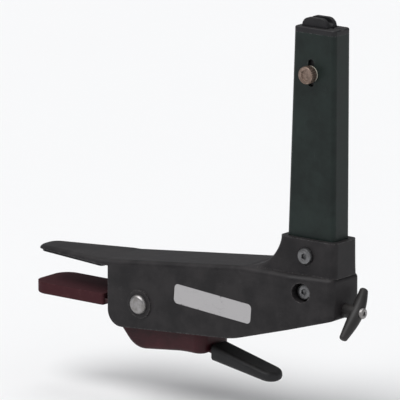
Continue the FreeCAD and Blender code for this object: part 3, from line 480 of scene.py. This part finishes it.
@dataclass(frozen=True)
class BlankLabel:
    """A plain light bar printed on the arm's near cheek, with nothing on it. Lengths are in millimetres."""

    centre: tuple[float, float] = (106.5, -9.0)
    lean: float = 4.5
    length: float = 54.0
    height: float = 11.4
    corner: float = 2.6
    soft: float = 0.2
    colour: Colour = (0.38, 0.37, 0.375)
    roughness: float = 0.42
    facing: Range = (-0.97, -0.90)
    outside: Range = (-17.0, -16.0)
    fray_reach: float = 1.2
    fray: float = 0.10
    patch_scale: float = 260.0
    rubbed: Range = (0.22, 0.38)
    faded: float = 0.35

    def mask(self, tree: Tree) -> bpy.types.NodeSocket:
        """Gives where the ink is.

        Args:
            tree: the material's tree.

        Returns:
            The ink's mask, from 0 to 1.
        """
        mapping = tree.add("Mapping", vector_type="TEXTURE")
        tree.feed(mapping.inputs["Location"], (self.centre[0] * MM, 0.0, self.centre[1] * MM))
        tree.feed(mapping.inputs["Rotation"], (0.0, math.radians(self.lean), 0.0))
        tree.feed(mapping.inputs["Scale"], (MM, MM, MM))
        tree.feed(mapping.inputs["Vector"], tree.place())
        where = tree.add("SeparateXYZ")
        tree.feed(where.inputs[0], mapping.outputs[0])
        past = []
        for axis, size in (("X", self.length), ("Z", self.height)):
            inner = size / 2 - self.corner
            over = tree.math("SUBTRACT", tree.math("ABSOLUTE", where.outputs[axis]), inner)
            past.append(tree.math("POWER", tree.math("MAXIMUM", over, 0.0), 2.0))
        distance = tree.math("SQRT", tree.math("ADD", *past))
        bar = tree.ramp(distance, self.corner - self.soft, self.corner, start=1.0, end=0.0)
        side = tree.add("SeparateXYZ")
        tree.feed(side.inputs[0], tree.add("NewGeometry").outputs["Normal"])
        facing = tree.ramp(side.outputs["Y"], *self.facing, start=1.0, end=0.0)
        outside = tree.ramp(where.outputs["Y"], *self.outside, start=1.0, end=0.0)
        edge = tree.ramp(distance, self.corner - self.fray_reach, self.corner, end=self.fray)
        patches = tree.noise(tree.place(), self.patch_scale, detail=5.0, roughness=0.7)
        rubbed = tree.ramp(tree.math("SUBTRACT", patches, edge), *self.rubbed, start=self.faded)
        printed = tree.math("MULTIPLY", bar, rubbed)
        return tree.math("MULTIPLY", printed, tree.math("MULTIPLY", facing, outside))


@dataclass(frozen=True)
class Paint(Finish):
    """Sprayed or powder-coated colour over metal."""

    cloud = (0.32, 0.68)
    smoother = 0.05
    rougher = 0.07
    line_gain = 2.2
    line_lift = 0.02
    line_roughness = 0.62
    bare_roughness = 0.36
    bare_metallic = 0.85
    bare_sink = 0.8
    dust_roughness = 0.92

    colour: Colour
    deep: Colour
    roughness: float
    peel: float
    peel_depth: float
    bare: Colour
    wear: float
    wear_reach: float
    streaks: float
    dust: float = 0.06
    shine: float = 0.22
    upright: bool = False
    label: BlankLabel | None = None

    def fill(self, tree: Tree, shader: bpy.types.Node, effects: Effects) -> None:
        """Layers colour, print, worn edges, scratches and dust.

        Args:
            tree: the material's tree.
            shader: its Principled shader.
            effects: the shared effects.
        """
        grain = effects.grain.use(tree, size=self.peel)
        worn = effects.wear.use(tree, reach=self.wear_reach * MM, amount=self.wear)["Mask"]
        upright = 1.0 if self.upright else 0.0
        lines = effects.scratches.use(tree, amount=self.streaks, along_x=1.0 - upright,
                                      along_z=upright)["Mask"]
        dust = effects.dust.use(tree, amount=self.dust)["Mask"]
        cloud = tree.ramp(grain["Cloud"], *self.cloud)
        colour = tree.blend(cloud, self.deep, self.colour)
        rough = tree.slide(cloud, self.roughness - self.smoother, self.roughness + self.rougher)
        if self.label:
            ink = self.label.mask(tree)
            colour = tree.blend(ink, colour, self.label.colour)
            rough = tree.slide(ink, rough, self.label.roughness)
        colour = tree.blend(lines, colour, lighter(self.colour, self.line_gain, self.line_lift))
        colour = tree.blend(worn, colour, self.bare)
        colour = tree.blend(dust, colour, DUST_COLOUR)
        tree.feed(shader.inputs["Base Color"], colour)
        rough = tree.slide(lines, rough, self.line_roughness)
        rough = tree.slide(worn, rough, self.bare_roughness)
        tree.feed(shader.inputs["Roughness"], tree.slide(dust, rough, self.dust_roughness))
        tree.feed(shader.inputs["Metallic"], tree.math("MULTIPLY", worn, self.bare_metallic))
        shader.inputs["Specular IOR Level"].default_value = self.shine
        height = tree.math("SUBTRACT", grain["Height"], tree.math("MULTIPLY", worn, self.bare_sink))
        self.bump(tree, shader, height, self.peel_depth)


@dataclass(frozen=True)
class Moulded(Finish):
    """Moulded plastic with a sparked grain and shinier, handled edges."""

    cloud_size = 10.0
    cloud = (0.3, 0.7)
    handled_reach = 0.9
    handled_scale = 500.0
    handled_gain = 1.9
    handled_lift = 0.012
    handled_smoother = 0.16
    smoother = 0.06
    rougher = 0.10
    dust_roughness = 0.9
    shine = 0.3

    colour: Colour
    deep: Colour
    roughness: float
    spark: float = 0.32
    depth: float = 0.016
    handled: float = 0.5
    dust: float = 0.12

    def fill(self, tree: Tree, shader: bpy.types.Node, effects: Effects) -> None:
        """Mixes the grain, polished edges and dust.

        Args:
            tree: the material's tree.
            shader: its Principled shader.
            effects: the shared effects.
        """
        grain = effects.grain.use(tree, size=self.spark, cloud_size=self.cloud_size)
        polished = effects.wear.use(tree, reach=self.handled_reach * MM, amount=self.handled,
                                    breakup=self.handled_scale)["Mask"]
        dust = effects.dust.use(tree, amount=self.dust)["Mask"]
        colour = tree.blend(tree.ramp(grain["Cloud"], *self.cloud), self.deep, self.colour)
        colour = tree.blend(polished, colour, lighter(self.colour, self.handled_gain, self.handled_lift))
        tree.feed(shader.inputs["Base Color"], tree.blend(dust, colour, DUST_COLOUR))
        shader.inputs["Specular IOR Level"].default_value = self.shine
        rough = tree.slide(grain["Height"], self.roughness - self.smoother, self.roughness + self.rougher)
        rough = tree.slide(polished, rough, self.roughness - self.handled_smoother)
        tree.feed(shader.inputs["Roughness"], tree.slide(dust, rough, self.dust_roughness))
        self.bump(tree, shader, grain["Height"], self.depth)


@dataclass(frozen=True)
class Rubber(Finish):
    """Matt rubber with a fine skin and chalky scuffs."""

    grain_size = 0.22
    cloud_size = 6.0
    depth = 0.02
    rub_reach = 1.2
    rub = 0.8
    rub_scale = 380.0
    patches = (0.48, 0.80)
    patch_share = 0.45
    roughness = 0.82
    chalk_roughness = 0.96
    shine = 0.25

    colour: Colour
    scuff: Colour

    def fill(self, tree: Tree, shader: bpy.types.Node, effects: Effects) -> None:
        """Mixes the skin with scuffs on edges and in patches.

        Args:
            tree: the material's tree.
            shader: its Principled shader.
            effects: the shared effects.
        """
        grain = effects.grain.use(tree, size=self.grain_size, cloud_size=self.cloud_size)
        rubbed = effects.wear.use(tree, reach=self.rub_reach * MM, amount=self.rub,
                                  breakup=self.rub_scale)["Mask"]
        patches = tree.ramp(grain["Cloud"], *self.patches, end=self.patch_share)
        chalk = tree.math("MAXIMUM", rubbed, patches)
        tree.feed(shader.inputs["Base Color"], tree.blend(chalk, self.colour, self.scuff))
        tree.feed(shader.inputs["Roughness"], tree.slide(chalk, self.roughness, self.chalk_roughness))
        shader.inputs["Specular IOR Level"].default_value = self.shine
        self.bump(tree, shader, grain["Height"], self.depth)


@dataclass(frozen=True)
class Plated(Finish):
    """Plated or bare metal with fine tooling marks and stains in random patches."""

    marks = 0.18
    mark_depth = 0.006
    cloud_size = 2.4
    cloud = (0.38, 0.66)
    bright_reach = 0.35
    bright = 0.9
    bright_scale = 1500.0
    bright_gain = 1.35
    bright_smoother = 0.08
    stain_rougher = 0.28
    stain_metallic = 0.7

    colour: Colour
    stain: Colour
    roughness: float
    stained: float = 0.5

    def fill(self, tree: Tree, shader: bpy.types.Node, effects: Effects) -> None:
        """Mixes bright metal, stains and tool marks.

        Args:
            tree: the material's tree.
            shader: its Principled shader.
            effects: the shared effects.
        """
        grain = effects.grain.use(tree, size=self.marks, cloud_size=self.cloud_size)
        bright = effects.wear.use(tree, reach=self.bright_reach * MM, amount=self.bright,
                                  breakup=self.bright_scale)["Mask"]
        stain = tree.math("MULTIPLY", tree.ramp(grain["Cloud"], *self.cloud), self.stained)
        colour = tree.blend(stain, self.colour, self.stain)
        colour = tree.blend(bright, colour, lighter(self.colour, self.bright_gain))
        tree.feed(shader.inputs["Base Color"], colour)
        rough = tree.slide(stain, self.roughness, self.roughness + self.stain_rougher)
        rough = tree.slide(bright, rough, self.roughness - self.bright_smoother)
        tree.feed(shader.inputs["Roughness"], rough)
        tree.feed(shader.inputs["Metallic"], tree.slide(stain, 1.0, self.stain_metallic))
        self.bump(tree, shader, grain["Height"], self.mark_depth)


BLACK_CASTING = Paint(
    "black_casting", colour=(0.021, 0.019, 0.020), deep=(0.009, 0.008, 0.009), roughness=0.50,
    peel=0.7, peel_depth=0.016, bare=(0.17, 0.16, 0.16), wear=0.6, wear_reach=1.3, streaks=0.3,
    label=BlankLabel())
GREY_TUBE = Paint(
    "grey_tube", colour=(0.011, 0.018, 0.016), deep=(0.005, 0.009, 0.008), roughness=0.40,
    peel=0.5, peel_depth=0.006, bare=(0.20, 0.20, 0.20), wear=0.5, wear_reach=0.9, streaks=0.3,
    upright=True)
MAROON_PRESSING = Paint(
    "maroon_pressing", colour=(0.042, 0.009, 0.012), deep=(0.023, 0.005, 0.007), roughness=0.40,
    peel=0.9, peel_depth=0.008, bare=(0.20, 0.17, 0.17), wear=0.6, wear_reach=1.1, streaks=0.4,
    shine=0.2)
BLACK_GRIP = Moulded(
    "black_grip", colour=(0.014, 0.014, 0.015), deep=(0.009, 0.009, 0.010), roughness=0.52)
BLACK_CAP = Moulded(
    "black_cap", colour=(0.012, 0.011, 0.013), deep=(0.008, 0.008, 0.009), roughness=0.46, spark=0.25)
DARK_CLEAT = Moulded(
    "dark_cleat", colour=(0.024, 0.022, 0.022), deep=(0.015, 0.014, 0.014), roughness=0.44, handled=0.8)
NATURAL_NYLON = Moulded(
    "natural_nylon", colour=(0.52, 0.49, 0.42), deep=(0.44, 0.41, 0.34), roughness=0.4, depth=0.006,
    dust=0.1)
BLACK_RUBBER = Rubber("black_rubber", colour=(0.018, 0.018, 0.018), scuff=(0.10, 0.10, 0.10))
MAROON_RUBBER = Rubber("maroon_rubber", colour=(0.038, 0.007, 0.010), scuff=(0.075, 0.028, 0.030))
BLACK_ZINC = Plated(
    "black_zinc", colour=(0.17, 0.17, 0.175), stain=(0.07, 0.068, 0.066), roughness=0.34, stained=0.4)
ZINC = Plated("zinc", colour=(0.33, 0.32, 0.32), stain=(0.15, 0.135, 0.12), roughness=0.38)
TARNISHED_BRASS = Plated(
    "tarnished_brass", colour=(0.27, 0.20, 0.165), stain=(0.12, 0.085, 0.065), roughness=0.42, stained=0.7)
BRIGHT_BRASS = Plated("bright_brass", colour=(0.70, 0.52, 0.24), stain=(0.32, 0.21, 0.09), roughness=0.28)
OILED_WIRE = Plated(
    "oiled_wire", colour=(0.20, 0.20, 0.21), stain=(0.07, 0.06, 0.05), roughness=0.30, stained=0.6)


class FinishShelf:
    """Makes each finish's material once and gives it to pieces."""

    def __init__(self, effects: Effects) -> None:
        """Starts with no material made.

        Args:
            effects: the shared effects.
        """
        self.effects = effects
        self.made: dict[Finish, bpy.types.Material] = {}

    def dress(self, piece: bpy.types.Object, finish: Finish) -> None:
        """Gives a piece its finish on every slot.

        Args:
            piece: a CAD node's object or a new piece.
            finish: the finish it wears.
        """
        if finish not in self.made:
            self.made[finish] = finish.material(self.effects)
        piece.data.materials.clear()
        piece.data.materials.append(self.made[finish])


# Turned pieces


def round_shape(radius: float) -> Radius:
    """Gives a circle as a radius for each angle."""
    return lambda angle: radius


def hexagon_shape(across_flats: float, inside: float = math.inf) -> Radius:
    """Gives a hexagon as a radius for each angle.

    Args:
        across_flats: the hexagon's size between flats.
        inside: a circle that cuts the corners off.

    Returns:
        The radius at an angle.
    """
    sector = math.pi / 3
    half = sector / 2
    return lambda angle: min(inside, across_flats / 2 / math.cos((angle + half) % sector - half))


def lobed_shape(radius: float, lobes: int = 6, swing: float = 0.13) -> Radius:
    """Gives a lobed socket as a radius for each angle.

    Args:
        radius: the socket's outer radius.
        lobes: how many lobes it has.
        swing: half the depth of its waves, as a share of the radius.

    Returns:
        The radius at an angle.
    """
    return lambda angle: radius * (1.0 - swing + swing * math.cos(lobes * angle))


def knurled_shape(radius: float, teeth: int, depth: float, sharpness: float = 0.7) -> Radius:
    """Gives a straight knurl as a radius for each angle.

    Args:
        radius: the knurl's outer radius.
        teeth: how many ridges it has.
        depth: how deep its valleys are.
        sharpness: under 1 makes the ridges sharper than the valleys.

    Returns:
        The radius at an angle.
    """
    return lambda angle: radius - depth * (0.5 - 0.5 * math.cos(teeth * angle)) ** sharpness


class TurnedMesh:
    """A mesh that grows ring by ring along +Z, each ring with its own shape."""

    def __init__(self, mesh: bmesh.types.BMesh, segments: int) -> None:
        """Starts a new stack of rings in a mesh.

        Args:
            mesh: the mesh that the rings are added to.
            segments: points in each ring.
        """
        self.mesh = mesh
        self.segments = segments
        self.edges: list[bmesh.types.BMEdge] = []
        self.points: list[bmesh.types.BMVert] = []
        self.everything: list[bmesh.types.BMVert] = []

    def ring(self, height: float, shape: Radius) -> TurnedMesh:
        """Adds a ring, and the wall from the ring before it.

        Args:
            height: the ring's place along Z, in millimetres.
            shape: its radius at each angle, in millimetres.

        Returns:
            This stack, so that calls can follow each other.
        """
        if not self.edges:
            self.points = bmesh.ops.create_circle(self.mesh, segments=self.segments, radius=1.0)["verts"]
            self.edges = list(dict.fromkeys(edge for point in self.points for edge in point.link_edges))
        else:
            grown = bmesh.ops.extrude_edge_only(self.mesh, edges=self.edges)["geom"]
            self.points = [item for item in grown if isinstance(item, bmesh.types.BMVert)]
            self.edges = [edge for edge in grown if isinstance(edge, bmesh.types.BMEdge)
                          and all(point in self.points for point in edge.verts)]
        for point in self.points:
            angle = math.atan2(point.co.y, point.co.x)
            reach = shape(angle) * MM
            point.co = Vector((reach * math.cos(angle), reach * math.sin(angle), height * MM))
        self.everything.extend(self.points)
        return self

    def cap(self) -> TurnedMesh:
        """Closes the last ring with a face."""
        bmesh.ops.contextual_create(self.mesh, geom=self.edges)
        return self

    def to(self, matrix: Matrix) -> None:
        """Moves the stack to its place."""
        bmesh.ops.transform(self.mesh, matrix=matrix, verts=self.everything)


def finished_piece(name: str, mesh: bmesh.types.BMesh) -> bpy.types.Object:
    """Turns a mesh into a piece at the origin, with soft shading on its gentle edges.

    Args:
        name: the piece's name.
        mesh: the finished mesh, which is freed.

    Returns:
        The new object, linked to the scene.
    """
    bmesh.ops.remove_doubles(mesh, verts=mesh.verts, dist=MERGE_UNDER)
    bmesh.ops.recalc_face_normals(mesh, faces=mesh.faces)
    limit = math.radians(SMOOTH_UNDER_DEGREES)
    for face in mesh.faces:
        face.smooth = True
    for edge in mesh.edges:
        edge.smooth = edge.calc_face_angle(math.pi) < limit
    data = bpy.data.meshes.new(name)
    mesh.to_mesh(data)
    mesh.free()
    piece = bpy.data.objects.new(name, data)
    bpy.context.scene.collection.objects.link(piece)
    log.info("built %s: %d faces", name, len(data.polygons))
    return piece


@dataclass
class Screw:
    """A screw along +Z: its shank below 0, its head above. Lengths are in millimetres.

    The thread's root and the shank's point are shares of the shank's radius, the socket's mouth and
    its drill tip are shares of the drive's radius, and the knee is where the head's chamfer bends, as
    shares of the chamfer inwards and down.
    """

    shank_radius: float
    shank_length: float
    head_radius: float
    head_height: float
    drive: Drive
    drive_radius: float
    drive_depth: float
    thread_length: float
    thread_pitch: float = 0.8
    thread_root: float = 0.9
    point: float = 0.7
    point_length: float = 0.4
    run_out: float = 0.1
    chamfer: float = 0.7
    knee_in: float = 0.4
    knee_down: float = 0.3
    under_chamfer: float = 0.35
    teeth: int = 0
    tooth_depth: float = 0.35
    points_per_tooth: int = 6
    segments: int = 48
    drive_chamfer: float = 0.2
    recess_chamfer: float = 0.25
    recess_flare: float = 0.3
    mouth: float = 1.28
    drill_tip: float = 0.25
    drill_depth: float = 0.3

    def head_shape(self) -> Radius:
        """Gives the head's outline: knurled if it has teeth, else round.

        Returns:
            The radius at an angle.
        """
        if self.teeth:
            return knurled_shape(self.head_radius, self.teeth, self.tooth_depth)
        return round_shape(self.head_radius)

    def add(self, mesh: bmesh.types.BMesh, matrix: Matrix) -> None:
        """Adds the screw to a mesh.

        Args:
            mesh: the mesh it goes into.
            matrix: where it goes.
        """
        stack = TurnedMesh(mesh, self.teeth * self.points_per_tooth or self.segments)
        crest, root = round_shape(self.shank_radius), round_shape(self.shank_radius * self.thread_root)
        end = -self.shank_length
        stack.ring(end, round_shape(self.shank_radius * self.point)).cap()
        start = end + self.point_length
        stack.ring(start, root)
        turns = int(self.thread_length / self.thread_pitch)
        for turn in range(turns):
            stack.ring(start + (turn + 0.5) * self.thread_pitch, crest)
            stack.ring(start + (turn + 1) * self.thread_pitch, root)
        stack.ring(start + turns * self.thread_pitch + self.run_out, crest)
        stack.ring(0.0, crest)
        full, top, outline = self.head_radius, self.head_height, self.head_shape()
        stack.ring(0.0, round_shape(full - self.under_chamfer))
        stack.ring(self.under_chamfer, outline).ring(top - self.chamfer, outline)
        stack.ring(top - self.chamfer * self.knee_down, round_shape(full - self.chamfer * self.knee_in))
        stack.ring(top, round_shape(full - self.chamfer))
        self.cut_drive(stack, top)
        stack.to(matrix)

    def cut_drive(self, stack: TurnedMesh, top: float) -> None:
        """Sinks the drive's socket into the head's top and closes it.

        Args:
            stack: the screw's rings, with the head's top as the last.
            top: the height of the head's top.
        """
        radius, floor = self.drive_radius, top - self.drive_depth
        if self.drive is Drive.TURNED_RECESS:
            stack.ring(top - self.recess_chamfer, round_shape(radius + self.recess_flare))
            stack.ring(floor, round_shape(radius)).cap()
            return
        shape = hexagon_shape(2 * radius) if self.drive is Drive.HEXAGON else lobed_shape(radius)
        stack.ring(top, round_shape(radius * self.mouth)).ring(top - self.drive_chamfer, shape)
        stack.ring(floor, shape).ring(floor - self.drill_depth, round_shape(radius * self.drill_tip)).cap()


@dataclass
class Nut:
    """A hexagon nut along +Z from 0, with turned corners. Lengths are in millimetres.

    The corners at its two ends and at its middle are shares of half its size across flats.
    """

    across_flats: float = 8.0
    thickness: float = 4.0
    hole_radius: float = 2.5
    end_corner: float = 1.01
    middle_corner: float = 1.125
    corner_height: float = 0.35
    hole_flare: float = 0.4
    hole_chamfer: float = 0.5
    segments: int = 48

    def add(self, mesh: bmesh.types.BMesh, matrix: Matrix) -> None:
        """Adds the nut to a mesh.

        Args:
            mesh: the mesh it goes into.
            matrix: where it goes.
        """
        flats, top = self.across_flats, self.thickness
        turned = hexagon_shape(flats, flats / 2 * self.end_corner)
        full = hexagon_shape(flats, flats / 2 * self.middle_corner)
        hole, mouth = round_shape(self.hole_radius), round_shape(self.hole_radius + self.hole_flare)
        rings = (
            (self.hole_chamfer, hole), (0.0, mouth), (0.0, turned), (self.corner_height, full),
            (top - self.corner_height, full), (top, turned), (top, mouth),
            (top - self.hole_chamfer, hole), (self.hole_chamfer, hole))
        stack = TurnedMesh(mesh, self.segments)
        for height, shape in rings:
            stack.ring(height, shape)
        stack.to(matrix)


# Sub-assemblies


def centre_of(node: str) -> Vector:
    """Gives the middle of a CAD node's box, in metres."""
    low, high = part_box(node)
    return (low + high) / 2


@dataclass
class SubAssembly:
    """A part of the clamp, with the finish of each CAD node that stays."""

    shelf: FinishShelf
    finishes: dict[str, Finish] = field(default_factory=dict)

    def dress(self, nodes: dict[str, bpy.types.Object]) -> None:
        """Gives the CAD nodes their finishes.

        Args:
            nodes: the frame's nodes by name.
        """
        for name, finish in self.finishes.items():
            self.shelf.dress(nodes[name], finish)
            log.info("dressed %s in %s", name, finish.name)


@dataclass
class Arm(SubAssembly):
    """The casting that lies on the table, its post, and what is fixed to them."""

    finishes: dict[str, Finish] = field(default_factory=lambda: {
        "arm_casting": BLACK_CASTING, "upper_jaw_pad": BLACK_RUBBER, "edge_buffer": BLACK_RUBBER,
        "post_tube": GREY_TUBE, "post_spacers": ZINC, "top_cap": BLACK_CAP, "cord_cleat": DARK_CLEAT,
        "pivot_pin": ZINC, "pivot_washer": ZINC, "pivot_clip": OILED_WIRE, "spring_sleeve": NATURAL_NYLON})
    bolt: Screw = field(default_factory=lambda: Screw(
        shank_radius=2.5, shank_length=25.9, head_radius=4.5, head_height=2.8, drive=Drive.HEXAGON,
        drive_radius=1.55, drive_depth=1.7, thread_length=8.0, chamfer=0.8))
    nut: Nut = field(default_factory=Nut)
    cleat_screw: Screw = field(default_factory=lambda: Screw(
        shank_radius=1.5, shank_length=21.6, head_radius=3.0, head_height=2.0, drive=Drive.LOBED,
        drive_radius=1.35, drive_depth=1.1, thread_length=11.0, thread_pitch=0.9))

    def build(self) -> None:
        """Builds the fasteners that stand in for the plain ones."""
        low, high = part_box("post_bolts")
        middle = (low.x + high.x) / 2
        heights = (low.z + self.bolt.head_radius * MM, high.z - self.bolt.head_radius * MM)
        mesh = bmesh.new()
        for height in heights:
            seat = Vector((middle, low.y + self.bolt.head_height * MM, height))
            self.bolt.add(mesh, Axis.MINUS_Y.turn_to(seat))
        self.finish("post_socket_bolts", mesh, "post_bolts", "black_steel", BLACK_ZINC)

        low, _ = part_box("post_nuts")
        mesh = bmesh.new()
        for height in heights:
            self.nut.add(mesh, Axis.PLUS_Y.turn_to(Vector((middle, low.y, height))))
        self.finish("post_locking_nuts", mesh, "post_nuts", "zinc_steel", ZINC)

        seat = centre_of("cleat_screw")
        _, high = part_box("cleat_screw")
        seat.x = high.x - self.cleat_screw.head_height * MM
        mesh = bmesh.new()
        self.cleat_screw.add(mesh, Axis.PLUS_X.turn_to(seat))
        self.finish("cleat_fixing_screw", mesh, "cleat_screw", "zinc_steel", ZINC)

    def finish(self, name: str, mesh: bmesh.types.BMesh, node: str, slot: str, finish: Finish) -> None:
        """Makes a piece that stands for a CAD node of this sub-assembly.

        Args:
            name: the new piece's name.
            mesh: its mesh.
            node: the CAD node that it stands for.
            slot: the record's material slot for its finish; not used.
            finish: what it wears.
        """
        piece = finished_piece(name, mesh)
        self.shelf.dress(piece, finish)
        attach(piece, Body.ARM.value)
        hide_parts(node)


@dataclass
class Lever(SubAssembly):
    """The pressed lever with its jaw boot, bushes and grip."""

    finishes: dict[str, Finish] = field(default_factory=lambda: {
        "lever_channel": MAROON_PRESSING, "lower_jaw_boot": MAROON_RUBBER, "lever_bushes": NATURAL_NYLON,
        "handle_grip": BLACK_GRIP})


@dataclass
class ClosingSpring:
    """The torsion spring round the pivot: one leg stays with the arm, the other goes with the lever.

    The winding field is not used; the copy keeps the CAD spring's shape.
    """

    shelf: FinishShelf
    winding: float = 2.0

    def build(self, nodes: dict[str, bpy.types.Object]) -> None:
        """Copies the CAD spring and stands the copy, with its finish, in for it.

        Args:
            nodes: the frame's nodes by name.
        """
        mesh = bmesh.new()
        mesh.from_mesh(nodes["torsion_spring"].data)
        piece = finished_piece("wound_torsion_spring", mesh)
        self.shelf.dress(piece, OILED_WIRE)
        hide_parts("torsion_spring")
        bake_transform(piece)


@dataclass
class HeightAdjuster(SubAssembly):
    """The slider in the post's top and the screw that locks it."""

    finishes: dict[str, Finish] = field(default_factory=lambda: {
        "height_slider": BLACK_CAP, "slider_insert": BRIGHT_BRASS, "lock_washer": NATURAL_NYLON})
    lock: Screw = field(default_factory=lambda: Screw(
        shank_radius=2.0, shank_length=10.2, head_radius=5.0, head_height=4.5, drive=Drive.TURNED_RECESS,
        drive_radius=2.6, drive_depth=0.9, thread_length=7.0, thread_pitch=0.7, teeth=24))

    def build(self) -> None:
        """Builds the knurled lock screw."""
        seat = centre_of("lock_screw")
        low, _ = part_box("lock_screw")
        seat.y = low.y + self.lock.head_height * MM
        mesh = bmesh.new()
        self.lock.add(mesh, Axis.MINUS_Y.turn_to(seat))
        piece = finished_piece("knurled_lock_screw", mesh)
        self.shelf.dress(piece, TARNISHED_BRASS)
        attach(piece, Body.LOCK.value)
        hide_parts("lock_screw")


# Studio


@dataclass(frozen=True)
class Lamp:
    """A soft, far light: where it shines from and how wide it looks, in degrees, and its strength."""

    name: str
    azimuth: float
    elevation: float
    spread: float
    strength: float


@dataclass
class Studio:
    """Pale floor, soft lights and the camera."""

    azimuth: float = 38.0
    elevation: float = 13.0
    distance: float = 3.1
    margin: float = 1.10
    sensor_width: float = 36.0
    clip: Range = (0.1, 100.0)
    floor_height: float = -0.075
    floor_size: float = 60.0
    floor_squares: int = 8
    floor_colours: tuple[Colour, Colour] = ((0.87, 0.87, 0.87), (0.89, 0.89, 0.89))
    floor_cloud_scale: float = 3.0
    floor_roughness: float = 0.7
    sky: Colour = (0.94, 0.96, 1.0)
    sky_strength: float = 0.28
    lamps: tuple[Lamp, ...] = (
        Lamp("key_light", azimuth=-15.0, elevation=58.0, spread=50.0, strength=2.6),
        Lamp("fill_light", azimuth=80.0, elevation=30.0, spread=70.0, strength=0.45),
        Lamp("rim_light", azimuth=205.0, elevation=64.0, spread=25.0, strength=0.3))

    def floor(self) -> None:
        """Lays the floor."""
        mesh = bmesh.new()
        bmesh.ops.create_grid(
            mesh, x_segments=self.floor_squares, y_segments=self.floor_squares, size=self.floor_size / 2,
            matrix=Matrix.Translation((0.0, 0.0, self.floor_height)))
        floor = finished_piece("studio_floor", mesh)
        made = bpy.data.materials.new("pale_floor")
        made.use_nodes = True
        tree = Tree(made.node_tree)
        shader = made.node_tree.nodes["Principled BSDF"]
        cloud = tree.noise(tree.place(), self.floor_cloud_scale)
        tree.feed(shader.inputs["Base Color"], tree.blend(cloud, *self.floor_colours))
        shader.inputs["Roughness"].default_value = self.floor_roughness
        floor.data.materials.append(made)

    def lights(self) -> None:
        """Sets up a soft key light, a fill and a rim light, in a dim surrounding."""
        world = bpy.data.worlds.new("studio_surrounding")
        world.use_nodes = True
        background = world.node_tree.nodes["Background"]
        background.inputs["Color"].default_value = (*self.sky, 1.0)
        background.inputs["Strength"].default_value = self.sky_strength
        bpy.context.scene.world = world
        bpy.context.scene.view_settings.view_transform = "Standard"
        for lamp in self.lamps:
            data = bpy.data.lights.new(lamp.name, "SUN")
            data.angle, data.energy = math.radians(lamp.spread), lamp.strength
            light = bpy.data.objects.new(lamp.name, data)
            bpy.context.scene.collection.objects.link(light)
            away = self.direction(lamp.azimuth, lamp.elevation)
            light.location = away
            light.rotation_euler = (-away).to_track_quat("-Z", "Y").to_euler()

    @staticmethod
    def direction(azimuth: float, elevation: float) -> Vector:
        """Gives the direction from the object to a camera or light.

        Args:
            azimuth: 0 looks along +Y, 90 along -X, in degrees.
            elevation: the height above the horizon, in degrees.

        Returns:
            A unit vector away from the object.
        """
        turn, rise = math.radians(azimuth), math.radians(elevation)
        return Vector((math.sin(turn) * math.cos(rise), -math.cos(turn) * math.cos(rise), math.sin(rise)))

    def camera(self, shown: Iterable[bpy.types.Object]) -> None:
        """Puts the camera at the photograph's angle and fills the square frame.

        Args:
            shown: the objects that the frame holds.
        """
        away = self.direction(self.azimuth, self.elevation)
        turn = (-away).to_track_quat("-Z", "Y")
        right, up = turn @ Vector((1, 0, 0)), turn @ Vector((0, 1, 0))
        points = [vertex.co for piece in shown for vertex in piece.data.vertices]
        spans = []
        for axis in (right, up):
            places = [point.dot(axis) for point in points]
            spans.append((min(places), max(places)))
        depth = sum(point.dot(away) for point in points) / len(points)
        middle = right * (sum(spans[0]) / 2) + up * (sum(spans[1]) / 2) + away * depth
        half = max(high - low for low, high in spans) / 2 * self.margin
        data = bpy.data.cameras.new("studio_camera")
        data.sensor_width = self.sensor_width
        data.lens = data.sensor_width / 2 / (half / self.distance)
        data.clip_start, data.clip_end = self.clip
        camera = bpy.data.objects.new("studio_camera", data)
        bpy.context.scene.collection.objects.link(camera)
        camera.rotation_mode = "QUATERNION"
        camera.rotation_quaternion = turn
        camera.location = middle + away * self.distance
        bpy.context.scene.camera = camera


def main() -> None:
    """Dresses the clamp, adds its fasteners and its spring, and sets up the studio."""
    logging.basicConfig(level=logging.INFO, format="%(name)s: %(message)s")
    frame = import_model()
    shelf = FinishShelf(Effects())
    nodes = frame["nodes"]
    arm = Arm(shelf)
    arm.build()
    arm.dress(nodes)
    lever = Lever(shelf)
    lever.dress(nodes)
    ClosingSpring(shelf).build(nodes)
    adjuster = HeightAdjuster(shelf)
    adjuster.build()
    adjuster.dress(nodes)
    studio = Studio()
    studio.floor()
    studio.lights()
    studio.camera(nodes.values())


if __name__ == "__main__":
    main()
